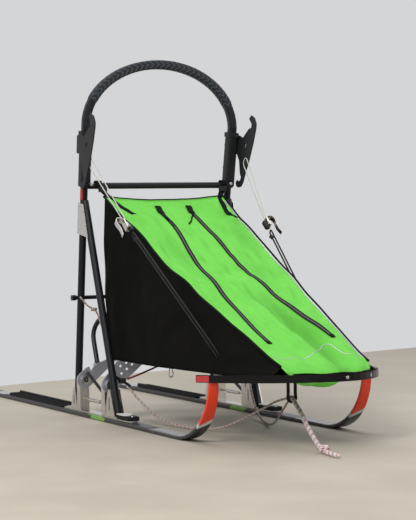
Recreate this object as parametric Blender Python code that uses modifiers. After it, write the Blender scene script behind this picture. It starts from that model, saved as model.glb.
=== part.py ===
"""Dog sled with ski runners, tube stanchions, a plastic brush bow and a sewn bag.

Metres, +Z up. +X is forward and +Y is the sled's left. The origin is on the floor,
half way along the sled and in its middle plane. Stations are distances forward of
the runners' tails.
"""
import math

import bmesh
import bpy
from mathutils import Matrix, Vector

for old in list(bpy.data.objects):
    bpy.data.objects.remove(old)

# Clearance between pieces that touch, and sizes that several pieces share
GAP = 0.0003
OVERRUN = 0.02
ROUND_SIDES = 20
ARC_STEPS = 10

# The whole sled
LENGTH = 2.0
TRACK = 0.472

# Runners: skis with a turned-up tip
RUNNER_THICK = 0.014
RUNNER_WIDTH = 0.043
RUNNER_TIP_WIDTH = 0.026
CURL_SETBACK = 0.475
FLAT_LENGTH = LENGTH - CURL_SETBACK
CURL_RADIUS = 0.165
CURL_ANGLE = math.radians(94)
TAIL_TAPER = 0.09
TAIL_WIDTH = 0.034

# Foot pads
PAD_START = 0.260
PAD_LENGTH = 0.455
PAD_THICK = 0.004
PAD_MARGIN = 0.0015
PAD_PITCH = 0.0142
PAD_TOOTH = 0.005
PAD_COMB = 0.011
PAD_COMB_WIDTH = 0.004

# Bridges and the hubs on which the runners tilt
REAR_HUB = 0.860
HUB_SPACING = 0.185
HUB_HEIGHT = 0.110
HUB_RADIUS = 0.025
SPIGOT_RADIUS = 0.0095
BOLT_RADIUS = 0.0115
BOLT_HEAD = 0.007
BRIDGE_THICK = 0.006
BRIDGE_TOP = 0.180
MIDDLE_DEPTH = 0.014
REAR_INNER = 0.130
REAR_SHOULDER = 0.139
FRONT_INNER = 0.128
FRONT_SHOULDER = 0.210
FLANGE_WIDTH = 0.018
FLANGE_THICK = 0.003
FLANGE_PROUD = 0.0005
WINDOW = 0.0056

# Carriers, brackets and what stands on the skis
PLATE = 0.003
CARRIER_WIDTH = 0.034
CARRIER_BEHIND = 0.140
CARRIER_AHEAD = 0.175
HUB_BLOCK_LENGTH = 0.026
HUB_BLOCK_WIDTH = 0.030
BRACKET_BEHIND = 0.0525
BRACKET_AHEAD = 0.030
REAR_CHEEK_BEHIND = 0.014
REAR_CHEEK_AHEAD = 0.032
REAR_CHEEK_PEAK = 0.008
REAR_CHEEK_HEIGHT = 0.064
FRONT_CHEEK_BEHIND = 0.067
FRONT_CHEEK_AHEAD = 0.005
FRONT_CHEEK_PEAK = -0.032
CHEEK_HEIGHT = 0.080
CHEEK_CLEARANCE = 0.0006
CHEEK_FLAT = 0.007
CHEEK_SLOT = 0.005
SLOT_WIDTH = 0.008
RUBBER_LENGTH = 0.085
FOOT_PLATE_LENGTH = 0.057
RUBBER_HEIGHT = 0.012
FOOT_PLATE_HOLE = 0.0055
TIE_RADIUS = 0.003
TIE_BODY_RADIUS = 0.0055
TIE_HEIGHT = 0.052
STRUT_RADIUS = 0.005
STRUT_TOP = 0.130
STRUT_FOOT = 0.062
STRUT_INSET = 0.009

# Legs
LEG_RADIUS = 0.011
REAR_LEG_BEHIND = 0.067
LEG_LEAN = 0.157
LEG_SPLAY = 0.0186
LEG_FOOT_INSET = 0.0035
STANCHION_TOP = 0.760
FRONT_LEG_AHEAD = 0.055
FRONT_LEG_RAKE = 0.3144
LEG_JOINT_HEIGHT = 0.655
GUSSET_TOP = 0.650
GUSSET_HEIGHT = 0.095
GUSSET_THICK = 0.003

# Clamps, handlebar and cross bars
CLAMP_BOTTOM = 0.698
CLAMP_TOP = 0.865
CLAMP_WIDTH = 0.032
COLLAR_HEIGHT = 0.014
COLLAR_PROUD = 0.0025
BAR_WIDTH = 0.025
BAR_CORNER = 0.006
BAR_TOP = 1.082
BAR_SPRING = 0.880
CROSS_BAR_RADIUS = 0.0095
CROSS_BAR_RISE = 0.006
SCREW_RADIUS = 0.006
SCREW_LENGTH = 0.004
LOW_BAR_RADIUS = 0.006
LOW_BAR_HEIGHT = 0.360
KNOB_RADIUS = 0.0085
KNOB_LENGTH = 0.013

# Hook plates
HOOK_THICK = 0.004

# Brush bow and rails
BOW_HEIGHT = 0.020
BOW_THICK = 0.008
BOW_REACH = 0.324
BOW_CLEARANCE = 0.0118
BOW_POWER = 1.2
BOW_RISE = 0.014
BOW_END_HEIGHT = 0.176
RAIL_RADIUS = 0.008
RAIL_HALF = 0.200
RAIL_STRAIGHT = 0.267
RAIL_BEND = REAR_HUB + HUB_SPACING + RAIL_STRAIGHT * (LENGTH - REAR_HUB - HUB_SPACING)
RAIL_NOSE_HALF = 0.140

# Bag
CLOTH = 0.003
BAG_REAR = 0.946
NOSE_SETBACK = 0.106
BAG_NOSE = LENGTH - NOSE_SETBACK
BAG_HALF = 0.200
BAG_REAR_HEIGHT = 0.660
BAG_NOSE_HEIGHT = 0.217
BELLY_HEIGHT = 0.160
NOSE_FOLD = 0.050
BAG_BACK_KICK = 0.054
BAG_BACK_POWER = 3
BAG_SAG = 0.010
FLOOR_SETBACK = 0.170
FLOOR_END = LENGTH - FLOOR_SETBACK

# Stays: a loop of cord from the hook plate to a tightening lever, and one on to the rail
WHITE_RADIUS = 0.0016
BLACK_RADIUS = 0.0024
STAY_TOP_STATION = 0.988
STAY_TOP_HEIGHT = 0.768
STAY_SETBACK = 0.340
STAY_FOOT_STATION = LENGTH - STAY_SETBACK
STAY_WIDE = 0.014
STAY_NARROW = 0.006
LEVER_STATION = 1.182
LEVER_HEIGHT = 0.574
LEVER_HALF = 0.229
LEVER_LENGTH = 0.050
LEVER_WIDTH = 0.020
LEVER_THICK = 0.010

# Brake hoop, held up behind the rear bridge
BRAKE_HALF = 0.182
BRAKE_TUBE = 0.0075
BRAKE_HEIGHT = 0.165
BRAKE_CORNER = 0.085
BRAKE_LEAN = math.radians(20)
PIVOT_HEIGHT = 0.150
PIVOT_BEHIND = 0.026
PIVOT_RADIUS = 0.005
PIN_HEAD_RADIUS = 0.008
PIN_HEAD = 0.003
PIVOT_PLAY = 0.0006
EYE_RADIUS = 0.011
CLAW_LENGTH = 0.032
CLAW_SPREAD = 0.090
CLAW_RADIUS = 0.005

# Bridle, the elastic loop that it hangs in, and the short tow rope
BRIDLE_RADIUS = 0.003
TOW_RADIUS = 0.006
LOOP_RADIUS = 0.0045
LOOP_STATION = 1.718
LOOP_HALF = 0.012
LOOP_LENGTH = 0.060
STRAND_TURN = (-0.84, 0.48, -0.25)
ROUTE_STEPS = 3

# Colour, roughness and metallic of each material
MATERIALS = {
    "runner_black": ((0.020, 0.021, 0.020, 1.0), 0.45, 0.0),
    "pad_black": ((0.025, 0.024, 0.024, 1.0), 0.80, 0.0),
    "aluminium": ((0.62, 0.60, 0.57, 1.0), 0.32, 1.0),
    "anodised_grey": ((0.30, 0.31, 0.36, 1.0), 0.38, 1.0),
    "tube_black": ((0.018, 0.019, 0.018, 1.0), 0.38, 0.2),
    "plate_black": ((0.015, 0.015, 0.016, 1.0), 0.45, 0.2),
    "rubber_black": ((0.020, 0.020, 0.020, 1.0), 0.85, 0.0),
    "bow_black": ((0.014, 0.014, 0.015, 1.0), 0.32, 0.0),
    "cloth_green": ((0.20, 0.80, 0.10, 1.0), 0.75, 0.0),
    "cloth_black": ((0.012, 0.012, 0.011, 1.0), 0.85, 0.0),
    "cord_white": ((0.72, 0.71, 0.64, 1.0), 0.80, 0.0),
    "cord_black": ((0.020, 0.020, 0.020, 1.0), 0.80, 0.0),
    "cord_red": ((0.62, 0.30, 0.30, 1.0), 0.85, 0.0),
}

SIDES = (("right", -1), ("left", 1))


def at(station):
    """X of a station, with the origin half way along the sled."""
    return station - LENGTH / 2


# Places worked out from the sizes above
HALF_TRACK = TRACK / 2
DECK = RUNNER_THICK + GAP
CARRIER_TOP = DECK + PLATE
BASE_TOP = CARRIER_TOP + GAP + PLATE
FRONT_HUB = REAR_HUB + HUB_SPACING
RAIL_HEIGHT = BRIDGE_TOP + GAP + RAIL_RADIUS
LEG_TILT = math.atan(math.hypot(LEG_LEAN, LEG_SPLAY))
REAR_FOOT_HEIGHT = BASE_TOP + GAP + LEG_RADIUS * math.sin(LEG_TILT)
FRONT_TILT = math.atan(FRONT_LEG_RAKE)
FRONT_FOOT_HEIGHT = BASE_TOP + GAP + LEG_RADIUS * math.sin(FRONT_TILT)
BOW_HALF = HALF_TRACK + RUNNER_TIP_WIDTH / 2 + BOW_CLEARANCE
KNOT_RADIUS = LOOP_HALF - LOOP_RADIUS - GAP


def rear_leg_point(height, side):
    """Centre of the rear leg, and of the stanchion above it, at a height."""
    rise = height - REAR_FOOT_HEIGHT
    half = HALF_TRACK - LEG_FOOT_INSET + LEG_SPLAY * rise
    return Vector((at(REAR_HUB - REAR_LEG_BEHIND) + LEG_LEAN * rise, side * half, height))


def front_leg_point(height, side):
    """Centre of the front leg at a height."""
    rise = height - FRONT_FOOT_HEIGHT
    half = HALF_TRACK - LEG_FOOT_INSET + LEG_SPLAY * rise
    return Vector((at(FRONT_HUB + FRONT_LEG_AHEAD) - FRONT_LEG_RAKE * rise, side * half, height))


def leg_frame(height, side):
    """Matrix on the stanchion: X forward, Y up along it, Z across the sled."""
    foot, head = (rear_leg_point(z, side) for z in (REAR_FOOT_HEIGHT, STANCHION_TOP))
    up = (head - foot).normalized()
    forward = Vector((0, 1, 0)).cross(up).normalized()
    across = forward.cross(up)
    centre = rear_leg_point(height, side)
    frame = Matrix((forward, up, across)).transposed().to_4x4()
    return Matrix.Translation(centre) @ frame


def collection(name):
    made = bpy.data.collections.new(name)
    bpy.context.scene.collection.children.link(made)
    return made


def material(name):
    """The named Principled material, made once."""
    if name in bpy.data.materials:
        return bpy.data.materials[name]
    colour, roughness, metallic = MATERIALS[name]
    made = bpy.data.materials.new(name)
    made.use_nodes = True
    shader = made.node_tree.nodes["Principled BSDF"]
    shader.inputs["Base Color"].default_value = colour
    shader.inputs["Roughness"].default_value = roughness
    shader.inputs["Metallic"].default_value = metallic
    made.diffuse_color = colour
    return made


def add(name, mesh, finish):
    """Put a mesh in the sled's collection as one named object."""
    made = bpy.data.objects.new(name, mesh)
    SLED.objects.link(made)
    if finish:
        made.data.materials.clear()
        made.data.materials.append(material(finish))
    return made


def from_bmesh(name, bm, finish, smooth=True):
    mesh = bpy.data.meshes.new(name)
    bmesh.ops.recalc_face_normals(bm, faces=bm.faces)
    bm.to_mesh(mesh)
    bm.free()
    if smooth:
        mesh.shade_smooth()
        mesh.set_sharp_from_angle(angle=math.radians(35))
    return add(name, mesh, finish)


def baked(made):
    """Turn an object's curve and modifiers into one welded mesh at the origin."""
    bpy.context.view_layer.update()
    depsgraph = bpy.context.evaluated_depsgraph_get()
    mesh = bpy.data.meshes.new_from_object(made.evaluated_get(depsgraph), depsgraph=depsgraph)
    mesh.transform(made.matrix_world)
    bm = bmesh.new()
    bm.from_mesh(mesh)
    bpy.data.meshes.remove(mesh)
    bmesh.ops.remove_doubles(bm, verts=bm.verts, dist=1e-6)
    name = made.name
    finish = made.data.materials[0].name if made.data.materials else None
    bpy.data.objects.remove(made)
    return from_bmesh(name, bm, finish)


def box(name, low, high, finish=None):
    """A block between two corners."""
    low, high = Vector(low), Vector(high)
    bm = bmesh.new()
    bmesh.ops.create_cube(bm, size=1)
    bmesh.ops.scale(bm, vec=high - low, verts=bm.verts)
    bmesh.ops.translate(bm, vec=(high + low) / 2, verts=bm.verts)
    return from_bmesh(name, bm, finish, smooth=False)


def rod(name, start, end, radius, finish=None, sides=ROUND_SIDES):
    """A straight round bar between two points."""
    start, end = Vector(start), Vector(end)
    along = end - start
    bm = bmesh.new()
    bmesh.ops.create_cone(bm, cap_ends=True, segments=sides, radius1=radius,
                          radius2=radius, depth=along.length)
    turn = along.to_track_quat("Z", "Y").to_matrix().to_4x4()
    place = Matrix.Translation((start + end) / 2) @ turn
    bmesh.ops.transform(bm, matrix=place, verts=bm.verts)
    return from_bmesh(name, bm, finish)


def tube(name, points, radius, finish, closed=False, resolution=3):
    """A round tube along points."""
    curve = bpy.data.curves.new(name, "CURVE")
    curve.dimensions = "3D"
    curve.bevel_depth = radius
    curve.bevel_resolution = resolution
    curve.use_fill_caps = True
    spline = curve.splines.new("POLY")
    spline.points.add(len(points) - 1)
    for point, place in zip(spline.points, points):
        point.co = (*place, 1)
    spline.use_cyclic_u = closed
    made = bpy.data.objects.new(name, curve)
    SLED.objects.link(made)
    made.data.materials.append(material(finish))
    return baked(made)


def plate(name, outlines, thick, place, finish=None):
    """A flat plate from closed outlines; the second and later ones are holes."""
    curve = bpy.data.curves.new(name, "CURVE")
    curve.dimensions = "2D"
    curve.fill_mode = "BOTH"
    curve.extrude = thick / 2
    for outline in outlines:
        spline = curve.splines.new("POLY")
        spline.points.add(len(outline) - 1)
        for point, (u, v) in zip(spline.points, outline):
            point.co = (u, v, 0, 1)
        spline.use_cyclic_u = True
    made = bpy.data.objects.new(name, curve)
    made.matrix_world = place
    SLED.objects.link(made)
    if finish:
        made.data.materials.append(material(finish))
    return baked(made)


def boolean(made, other, operation):
    """Join another object to this one, or cut it away, and remove it."""
    modifier = made.modifiers.new(operation.title(), "BOOLEAN")
    modifier.operation = operation
    modifier.solver = "EXACT"
    modifier.object = other
    made = baked(made)
    bpy.data.objects.remove(other)
    return made


def joined(made, *others):
    for other in others:
        made = boolean(made, other, "UNION")
    return made


def cut(made, *others):
    for other in others:
        made = boolean(made, other, "DIFFERENCE")
    return made


def arc(centre, radius, start, end, steps=ARC_STEPS):
    """Points round a centre from one angle to another."""
    angles = [start + (end - start) * step / steps for step in range(steps + 1)]
    return [(centre[0] + radius * math.cos(a), centre[1] + radius * math.sin(a)) for a in angles]


def circle(centre, radius, steps=ROUND_SIDES):
    return arc(centre, radius, 0, math.tau, steps)[:-1]


def slot(start, end, width):
    """A long hole with round ends between two points."""
    angle = math.atan2(end[1] - start[1], end[0] - start[0])
    quarter = math.pi / 2
    return (arc(end, width / 2, angle - quarter, angle + quarter)
            + arc(start, width / 2, angle + quarter, angle + 3 * quarter))


def along_y(y):
    """Places a plate in a plane across Y, with its outline in X and Z."""
    return Matrix(((1, 0, 0, 0), (0, 0, -1, y), (0, 1, 0, 0), (0, 0, 0, 1)))


def along_x(x):
    """Places a plate in a plane across X, with its outline in Y and Z."""
    return Matrix(((0, 0, 1, x), (1, 0, 0, 0), (0, 1, 0, 0), (0, 0, 0, 1)))


def along_z(z):
    return Matrix.Translation((0, 0, z))


def sheet(name, rows, thick, finish):
    """A thin panel through rows of points, thickened evenly about them."""
    bm = bmesh.new()
    grid = [[bm.verts.new(point) for point in row] for row in rows]
    for low, high in zip(grid, grid[1:]):
        for a, b, c, d in zip(low, low[1:], high[1:], high):
            bm.faces.new((a, b, c, d))
    mesh = bpy.data.meshes.new(name)
    bm.to_mesh(mesh)
    bm.free()
    made = add(name, mesh, finish)
    modifier = made.modifiers.new("Thickness", "SOLIDIFY")
    modifier.thickness = thick
    modifier.offset = 0
    return baked(made)


def blend(table, share):
    """Row of a table between its first and last rows, by its first column."""
    for low, high in zip(table, table[1:]):
        if share <= high[0]:
            part = (share - low[0]) / (high[0] - low[0])
            return [a + (b - a) * part for a, b in zip(low, high)]
    return list(table[-1])


def runner_path(distance):
    """Station and height of the ski's mid-line, that far from its tail, and its slope."""
    middle = RUNNER_THICK / 2
    if distance <= FLAT_LENGTH:
        return distance, middle, 0.0
    angle = (distance - FLAT_LENGTH) / CURL_RADIUS
    return (FLAT_LENGTH + CURL_RADIUS * math.sin(angle),
            middle + CURL_RADIUS * (1 - math.cos(angle)), angle)


def runner_half(distance):
    """Half the ski's width, that far from its tail."""
    if distance < TAIL_TAPER:
        share = distance / TAIL_TAPER
        return (TAIL_WIDTH + (RUNNER_WIDTH - TAIL_WIDTH) * share) / 2
    total = FLAT_LENGTH + CURL_RADIUS * CURL_ANGLE
    share = max(0, (distance - FLAT_LENGTH) / (total - FLAT_LENGTH))
    return (RUNNER_WIDTH + (RUNNER_TIP_WIDTH - RUNNER_WIDTH) * share) / 2


def make_runner(word, side):
    """One ski: a strip bent up at the front and narrowed towards its tip."""
    total = FLAT_LENGTH + CURL_RADIUS * CURL_ANGLE
    distances = [0, TAIL_TAPER / 2, TAIL_TAPER, FLAT_LENGTH / 2]
    steps = 2 * ARC_STEPS
    distances += [FLAT_LENGTH + (total - FLAT_LENGTH) * step / steps for step in range(steps + 1)]
    rows = []
    for distance in distances:
        station, height, _ = runner_path(distance)
        half = runner_half(distance)
        middle = side * HALF_TRACK
        rows.append([(at(station), middle - half, height), (at(station), middle + half, height)])
    sheet("runner_" + word, rows, RUNNER_THICK, "runner_black")


def make_foot_pad(word, side):
    """Tread pad: cross teeth along its top and a taller comb on its inner edge."""
    start, end = at(PAD_START), at(PAD_START + PAD_LENGTH)
    teeth = round(PAD_LENGTH / PAD_PITCH)
    pitch = PAD_LENGTH / teeth
    top = DECK + PAD_THICK
    low, high = (top, top + PAD_TOOTH + PAD_MARGIN), (top + PAD_TOOTH, top + PAD_COMB)
    profile = [(start, *low)]
    for tooth in range(teeth):
        foot = start + tooth * pitch
        profile += [(foot + pitch / 4, *low), (foot + pitch / 2, *high),
                    (foot + pitch * 3 / 4, *low)]
    profile.append((end, *low))
    half, middle = RUNNER_WIDTH / 2 - PAD_MARGIN, side * HALF_TRACK
    outer, inner = middle + side * half, middle - side * half
    wall = inner + side * PAD_COMB_WIDTH
    bm = bmesh.new()
    # The four long edges, from the outer side over the teeth and the comb to the inner side
    edges = [[bm.verts.new((x, y, (pad, comb)[tall])) for x, pad, comb in profile]
             for y, tall in ((outer, 0), (wall, 0), (wall, 1), (inner, 1))]
    corners = [[bm.verts.new((x, y, DECK)) for x in (start, end)] for y in (outer, inner)]
    for near, far in ((edges[0], edges[1]), (edges[2], edges[3])):
        for quad in zip(near, near[1:], far[1:], far):
            bm.faces.new(quad)
    bm.faces.new(edges[1] + edges[2][::-1])
    bm.faces.new([corners[0][0]] + edges[0] + [corners[0][1]])
    bm.faces.new([corners[1][0]] + edges[3] + [corners[1][1]])
    bm.faces.new([corners[0][0], corners[0][1], corners[1][1], corners[1][0]])
    for place in (0, -1):
        bm.faces.new([corners[0][place]] + [edge[place] for edge in edges] + [corners[1][place]])
    from_bmesh("foot_pad_" + word, bm, "pad_black", smooth=False)


def make_carrier(word, side):
    """Flat strip on the ski that the brackets are bolted to."""
    start, end = at(REAR_HUB - CARRIER_BEHIND), at(FRONT_HUB + CARRIER_AHEAD)
    middle = side * HALF_TRACK
    half = CARRIER_WIDTH / 2
    outline = (arc((start + half, middle), half, math.pi / 2, 3 * math.pi / 2)
               + arc((end - half, middle), half, -math.pi / 2, math.pi / 2))
    plate("carrier_" + word, [outline], PLATE, along_z(DECK + PLATE / 2), "aluminium")


def make_hub_block(name, hub, side, finish):
    """Upright block with the spigot and bolt head that a bridge turns on."""
    rear = at(hub) - BRIDGE_THICK / 2 - GAP - HUB_BLOCK_LENGTH
    middle = side * HALF_TRACK
    half = HUB_BLOCK_WIDTH / 2
    outline = ([(middle - half, CARRIER_TOP + GAP), (middle + half, CARRIER_TOP + GAP)]
               + arc((middle, HUB_HEIGHT), half, 0, math.pi))
    block = plate(name, [outline], HUB_BLOCK_LENGTH,
                  along_x(rear + HUB_BLOCK_LENGTH / 2), finish)
    front = at(hub) + BRIDGE_THICK / 2 + GAP
    spigot = rod("spigot", (rear + HUB_BLOCK_LENGTH / 2, middle, HUB_HEIGHT),
                 (front + BOLT_HEAD / 2, middle, HUB_HEIGHT), SPIGOT_RADIUS)
    head = rod("head", (front, middle, HUB_HEIGHT),
               (front + BOLT_HEAD, middle, HUB_HEIGHT), BOLT_RADIUS + SPIGOT_RADIUS / 4)
    return joined(block, spigot, head)


def cheeks(foot, behind, ahead, peak, height):
    """Two slotted side plates round a leg's foot, each a triangle with a cut-off peak."""
    x, base, shoulder = foot.x, CARRIER_TOP + GAP, BASE_TOP + PLATE
    top = base + height
    outline = [(x - behind, base), (x + ahead, base), (x + ahead, shoulder),
               (x + peak + CHEEK_FLAT, top), (x + peak - CHEEK_FLAT, top), (x - behind, shoulder)]
    hole = slot((x + peak, base + height / 4), (x + peak, base + height * 2 / 3), CHEEK_SLOT)
    spread = LEG_RADIUS + LEG_SPLAY * CHEEK_HEIGHT + CHEEK_CLEARANCE + PLATE / 2
    return [plate("cheek", [outline, hole[::-1]], PLATE, along_y(foot.y + hand * spread))
            for hand in (-1, 1)]


def bracket_floor(foot, behind, ahead):
    """Base that the two side plates stand up from."""
    half = LEG_RADIUS + LEG_SPLAY * CHEEK_HEIGHT + CHEEK_CLEARANCE + PLATE - GAP
    return box("floor", (foot.x - behind, foot.y - half, CARRIER_TOP + GAP),
               (foot.x + ahead, foot.y + half, BASE_TOP))


def make_brackets(word, side):
    foot = rear_leg_point(REAR_FOOT_HEIGHT, side)
    ahead = REAR_LEG_BEHIND - BRIDGE_THICK - HUB_BLOCK_LENGTH / 2
    block = make_hub_block("rear_bracket_" + word, REAR_HUB, side, "aluminium")
    joined(block, bracket_floor(foot, BRACKET_BEHIND, ahead),
           *cheeks(foot, REAR_CHEEK_BEHIND, REAR_CHEEK_AHEAD, REAR_CHEEK_PEAK,
                   REAR_CHEEK_HEIGHT))
    foot = front_leg_point(FRONT_FOOT_HEIGHT, side)
    behind = FRONT_LEG_AHEAD + BRIDGE_THICK + HUB_BLOCK_LENGTH / 2
    block = make_hub_block("front_bracket_" + word, FRONT_HUB, side, "aluminium")
    joined(block, bracket_floor(foot, behind, BRACKET_AHEAD),
           *cheeks(foot, FRONT_CHEEK_BEHIND, FRONT_CHEEK_AHEAD, FRONT_CHEEK_PEAK,
                   CHEEK_HEIGHT))


def tangent(point, centre, radius, hand):
    """Angle round a circle at which the line from a point touches it."""
    across, up = point[0] - centre[0], point[1] - centre[1]
    return math.atan2(up, across) + hand * math.acos(radius / math.hypot(across, up))


def bridge_outline(inner, shoulder, horn_shares):
    """Half a bridge at positive Y: level middle, arm, and round cam end with its horn."""
    hub = (HALF_TRACK, HUB_HEIGHT)
    low, high = (inner, BRIDGE_TOP - MIDDLE_DEPTH), (shoulder, BRIDGE_TOP - FLANGE_THICK / 2)
    horn = [(hub[0] + u * HUB_RADIUS, hub[1] + v * HUB_RADIUS) for u, v in horn_shares]
    start = tangent(low, hub, HUB_RADIUS, 1) - math.tau
    end = tangent((horn + [high])[0], hub, HUB_RADIUS, -1)
    return [low] + arc(hub, HUB_RADIUS, start, end, 2 * ARC_STEPS) + horn + [high]


def make_bridge(name, hub, inner, shoulder, horn_shares=(), window_shares=()):
    half = bridge_outline(inner, shoulder, horn_shares)
    outline = half + [(-y, z) for y, z in reversed(half)]
    holes = [circle((side * HALF_TRACK, HUB_HEIGHT), SPIGOT_RADIUS + GAP) for _, side in SIDES]
    for u, v in window_shares:
        place = HALF_TRACK - u * (HALF_TRACK - inner), HUB_HEIGHT + v * (BRIDGE_TOP - HUB_HEIGHT)
        holes += [circle((side * place[0], place[1]), WINDOW, 4) for _, side in SIDES]
    web = plate(name, [outline] + holes, BRIDGE_THICK, along_x(at(hub)), "anodised_grey")
    rear, end = at(hub) - BRIDGE_THICK / 2, shoulder + FLANGE_PROUD
    flange = box("flange", (rear - FLANGE_PROUD, -end, BRIDGE_TOP - FLANGE_THICK),
                 (rear + FLANGE_WIDTH, end, BRIDGE_TOP))
    return joined(web, flange)


def make_front_bridge():
    """Wide front bridge. Its windows are shares of the way in from the hub, and up."""
    window_shares = ((0.36, 0.44), (0.52, 0.62), (0.68, 0.80), (0.33, 0.76), (0.51, 0.88))
    make_bridge("front_bridge", FRONT_HUB, FRONT_INNER, FRONT_SHOULDER, (), window_shares)


def make_rear_bridge():
    """Rear bridge with the two lugs and pins that carry the brake's eyes."""
    # Horn over the hub, the notch beside it and the arm's outer corner, in hub radii
    horn_shares = ((-0.20, 1.45), (-0.55, 1.60), (-0.80, 0.95), (-1.30, 1.75))
    bridge = make_bridge("rear_bridge", REAR_HUB, REAR_INNER, REAR_SHOULDER, horn_shares)
    face, axis = at(REAR_HUB), at(REAR_HUB - PIVOT_BEHIND)
    reach = EYE_RADIUS - PIVOT_PLAY
    quarter = math.pi / 2
    outline = ([(face, PIVOT_HEIGHT + reach)]
               + arc((axis, PIVOT_HEIGHT), reach, quarter, 3 * quarter)
               + [(face, PIVOT_HEIGHT - reach)])
    for _, side in SIDES:
        inner = BRAKE_HALF - BRAKE_TUBE - PIVOT_PLAY - PLATE
        outer = BRAKE_HALF + BRAKE_TUBE + PIVOT_PLAY
        lug = plate("lug", [outline], PLATE, along_y(side * (inner + PLATE / 2)))
        pin = rod("pin", (axis, side * (inner + PLATE / 2), PIVOT_HEIGHT),
                  (axis, side * (outer + PIN_HEAD / 2), PIVOT_HEIGHT), PIVOT_RADIUS)
        head = rod("head", (axis, side * outer, PIVOT_HEIGHT),
                   (axis, side * (outer + PIN_HEAD), PIVOT_HEIGHT), PIN_HEAD_RADIUS)
        bridge = joined(bridge, lug, pin, head)


def make_foot_block(word, side):
    """Rubber block under the white plate in front of the leg's foot."""
    foot = front_leg_point(FRONT_FOOT_HEIGHT, side)
    start = foot.x + BRACKET_AHEAD + GAP
    half = CARRIER_WIDTH / 2
    middle = side * HALF_TRACK
    length = FOOT_PLATE_LENGTH
    base = CARRIER_TOP + GAP
    box("foot_block_" + word, (start, middle - half, base),
        (start + RUBBER_LENGTH, middle + half, base + RUBBER_HEIGHT), "rubber_black")
    top = base + RUBBER_HEIGHT + GAP
    outline = [(start, middle - half), (start + length - half, middle - half)]
    outline += arc((start + length - half, middle), half, -math.pi / 2, math.pi / 2)
    outline += [(start, middle + half)]
    hole = circle((start + length - half, middle), FOOT_PLATE_HOLE)
    plate("foot_plate_" + word, [outline, hole], PLATE, along_z(top + PLATE / 2), "aluminium")


def make_ties(word, side):
    """Adjusting rod between the hub blocks, and the slanting strut inside it."""
    middle = side * HALF_TRACK
    start = at(REAR_HUB) - BRIDGE_THICK / 2
    end = at(FRONT_HUB) - BRIDGE_THICK / 2 - GAP - HUB_BLOCK_LENGTH - GAP
    rodding = rod("tie_rod_" + word, (start, middle, TIE_HEIGHT), (end, middle, TIE_HEIGHT),
                  TIE_RADIUS, "aluminium")
    centre, quarter = (start + end) / 2, (end - start) / 4
    body = rod("body", (centre - quarter, middle, TIE_HEIGHT),
               (centre + quarter, middle, TIE_HEIGHT), TIE_BODY_RADIUS)
    joined(rodding, body)
    inside = side * (HALF_TRACK - STRUT_INSET)
    top = Vector((at(REAR_HUB) + BRIDGE_THICK / 2 + GAP, inside, STRUT_TOP))
    foot = Vector((end, inside, STRUT_FOOT))
    more = (top - foot).normalized() * STRUT_RADIUS * 2
    slack = Vector((OVERRUN, OVERRUN, OVERRUN))
    cut(rod("strut_" + word, top + more, foot - more, STRUT_RADIUS, "tube_black"),
        box("bridge", top - slack - Vector((OVERRUN, 0, 0)), top + Vector((0, *slack[1:]))),
        box("block", foot - Vector((0, *slack[1:])), foot + slack))


def make_legs(word, side):
    rear = rod("rear_leg_" + word, rear_leg_point(REAR_FOOT_HEIGHT, side),
               rear_leg_point(STANCHION_TOP, side), LEG_RADIUS, "tube_black")
    keep_out = rod("keep_out", rear_leg_point(HUB_HEIGHT, side),
                   rear_leg_point(CLAMP_TOP, side), LEG_RADIUS + GAP)
    front = rod("front_leg_" + word, front_leg_point(FRONT_FOOT_HEIGHT, side),
                front_leg_point(LEG_JOINT_HEIGHT, side), LEG_RADIUS, "tube_black")
    cut(front, keep_out)
    return rear


def make_gusset(word, side):
    """Side plate that ties the front leg to the rear leg."""
    frame = leg_frame(GUSSET_TOP - GUSSET_HEIGHT / 2, side)
    half = GUSSET_HEIGHT / 2
    width = LEG_RADIUS
    spread = (FRONT_LEG_RAKE + LEG_LEAN) * GUSSET_HEIGHT
    outline = [(-width, half), (width * 2, half), (width * 2 + spread, -half), (-width, -half)]
    sign = 1 if frame.col[2].y * side > 0 else -1
    shift = Matrix.Translation((0, 0, sign * (LEG_RADIUS + GAP + GUSSET_THICK / 2)))
    plate("gusset_" + word, [outline], GUSSET_THICK, frame @ shift, "aluminium")


def square(half, corner):
    """Square with rounded corners."""
    inner = half - corner
    points = []
    for quarter, (u, v) in enumerate(((1, 1), (-1, 1), (-1, -1), (1, -1))):
        start = quarter * math.pi / 2
        points += arc((u * inner, v * inner), corner, start, start + math.pi / 2, 2)
    return points


def clamp_place(height, side):
    """Matrix on the stanchion with Z along it, for what is swept up it."""
    return leg_frame(height, side) @ Matrix.Rotation(-math.pi / 2, 4, "X")


def make_clamp(word, side):
    """Sleeve that holds the handlebar's square leg above the stanchion's round tube."""
    middle = (CLAMP_BOTTOM + CLAMP_TOP) / 2
    length = CLAMP_TOP - CLAMP_BOTTOM
    half = CLAMP_WIDTH / 2
    place = clamp_place(middle, side)
    body = plate("clamp_" + word, [square(half, BAR_CORNER)], length, place, "plate_black")
    collar = plate("collar", [square(half + COLLAR_PROUD, BAR_CORNER)], COLLAR_HEIGHT,
                   place @ Matrix.Translation((0, 0, length / 2 - COLLAR_HEIGHT / 2)))
    body = joined(body, collar)
    bore = rod("bore", rear_leg_point(CLAMP_BOTTOM - OVERRUN, side),
               rear_leg_point(STANCHION_TOP + GAP, side), LEG_RADIUS + GAP)
    socket = plate("socket", [square(BAR_WIDTH / 2 + GAP, BAR_CORNER)], length,
                   clamp_place(STANCHION_TOP + PLATE, side)
                   @ Matrix.Translation((0, 0, length / 2)))
    cut(body, bore, socket)


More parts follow.
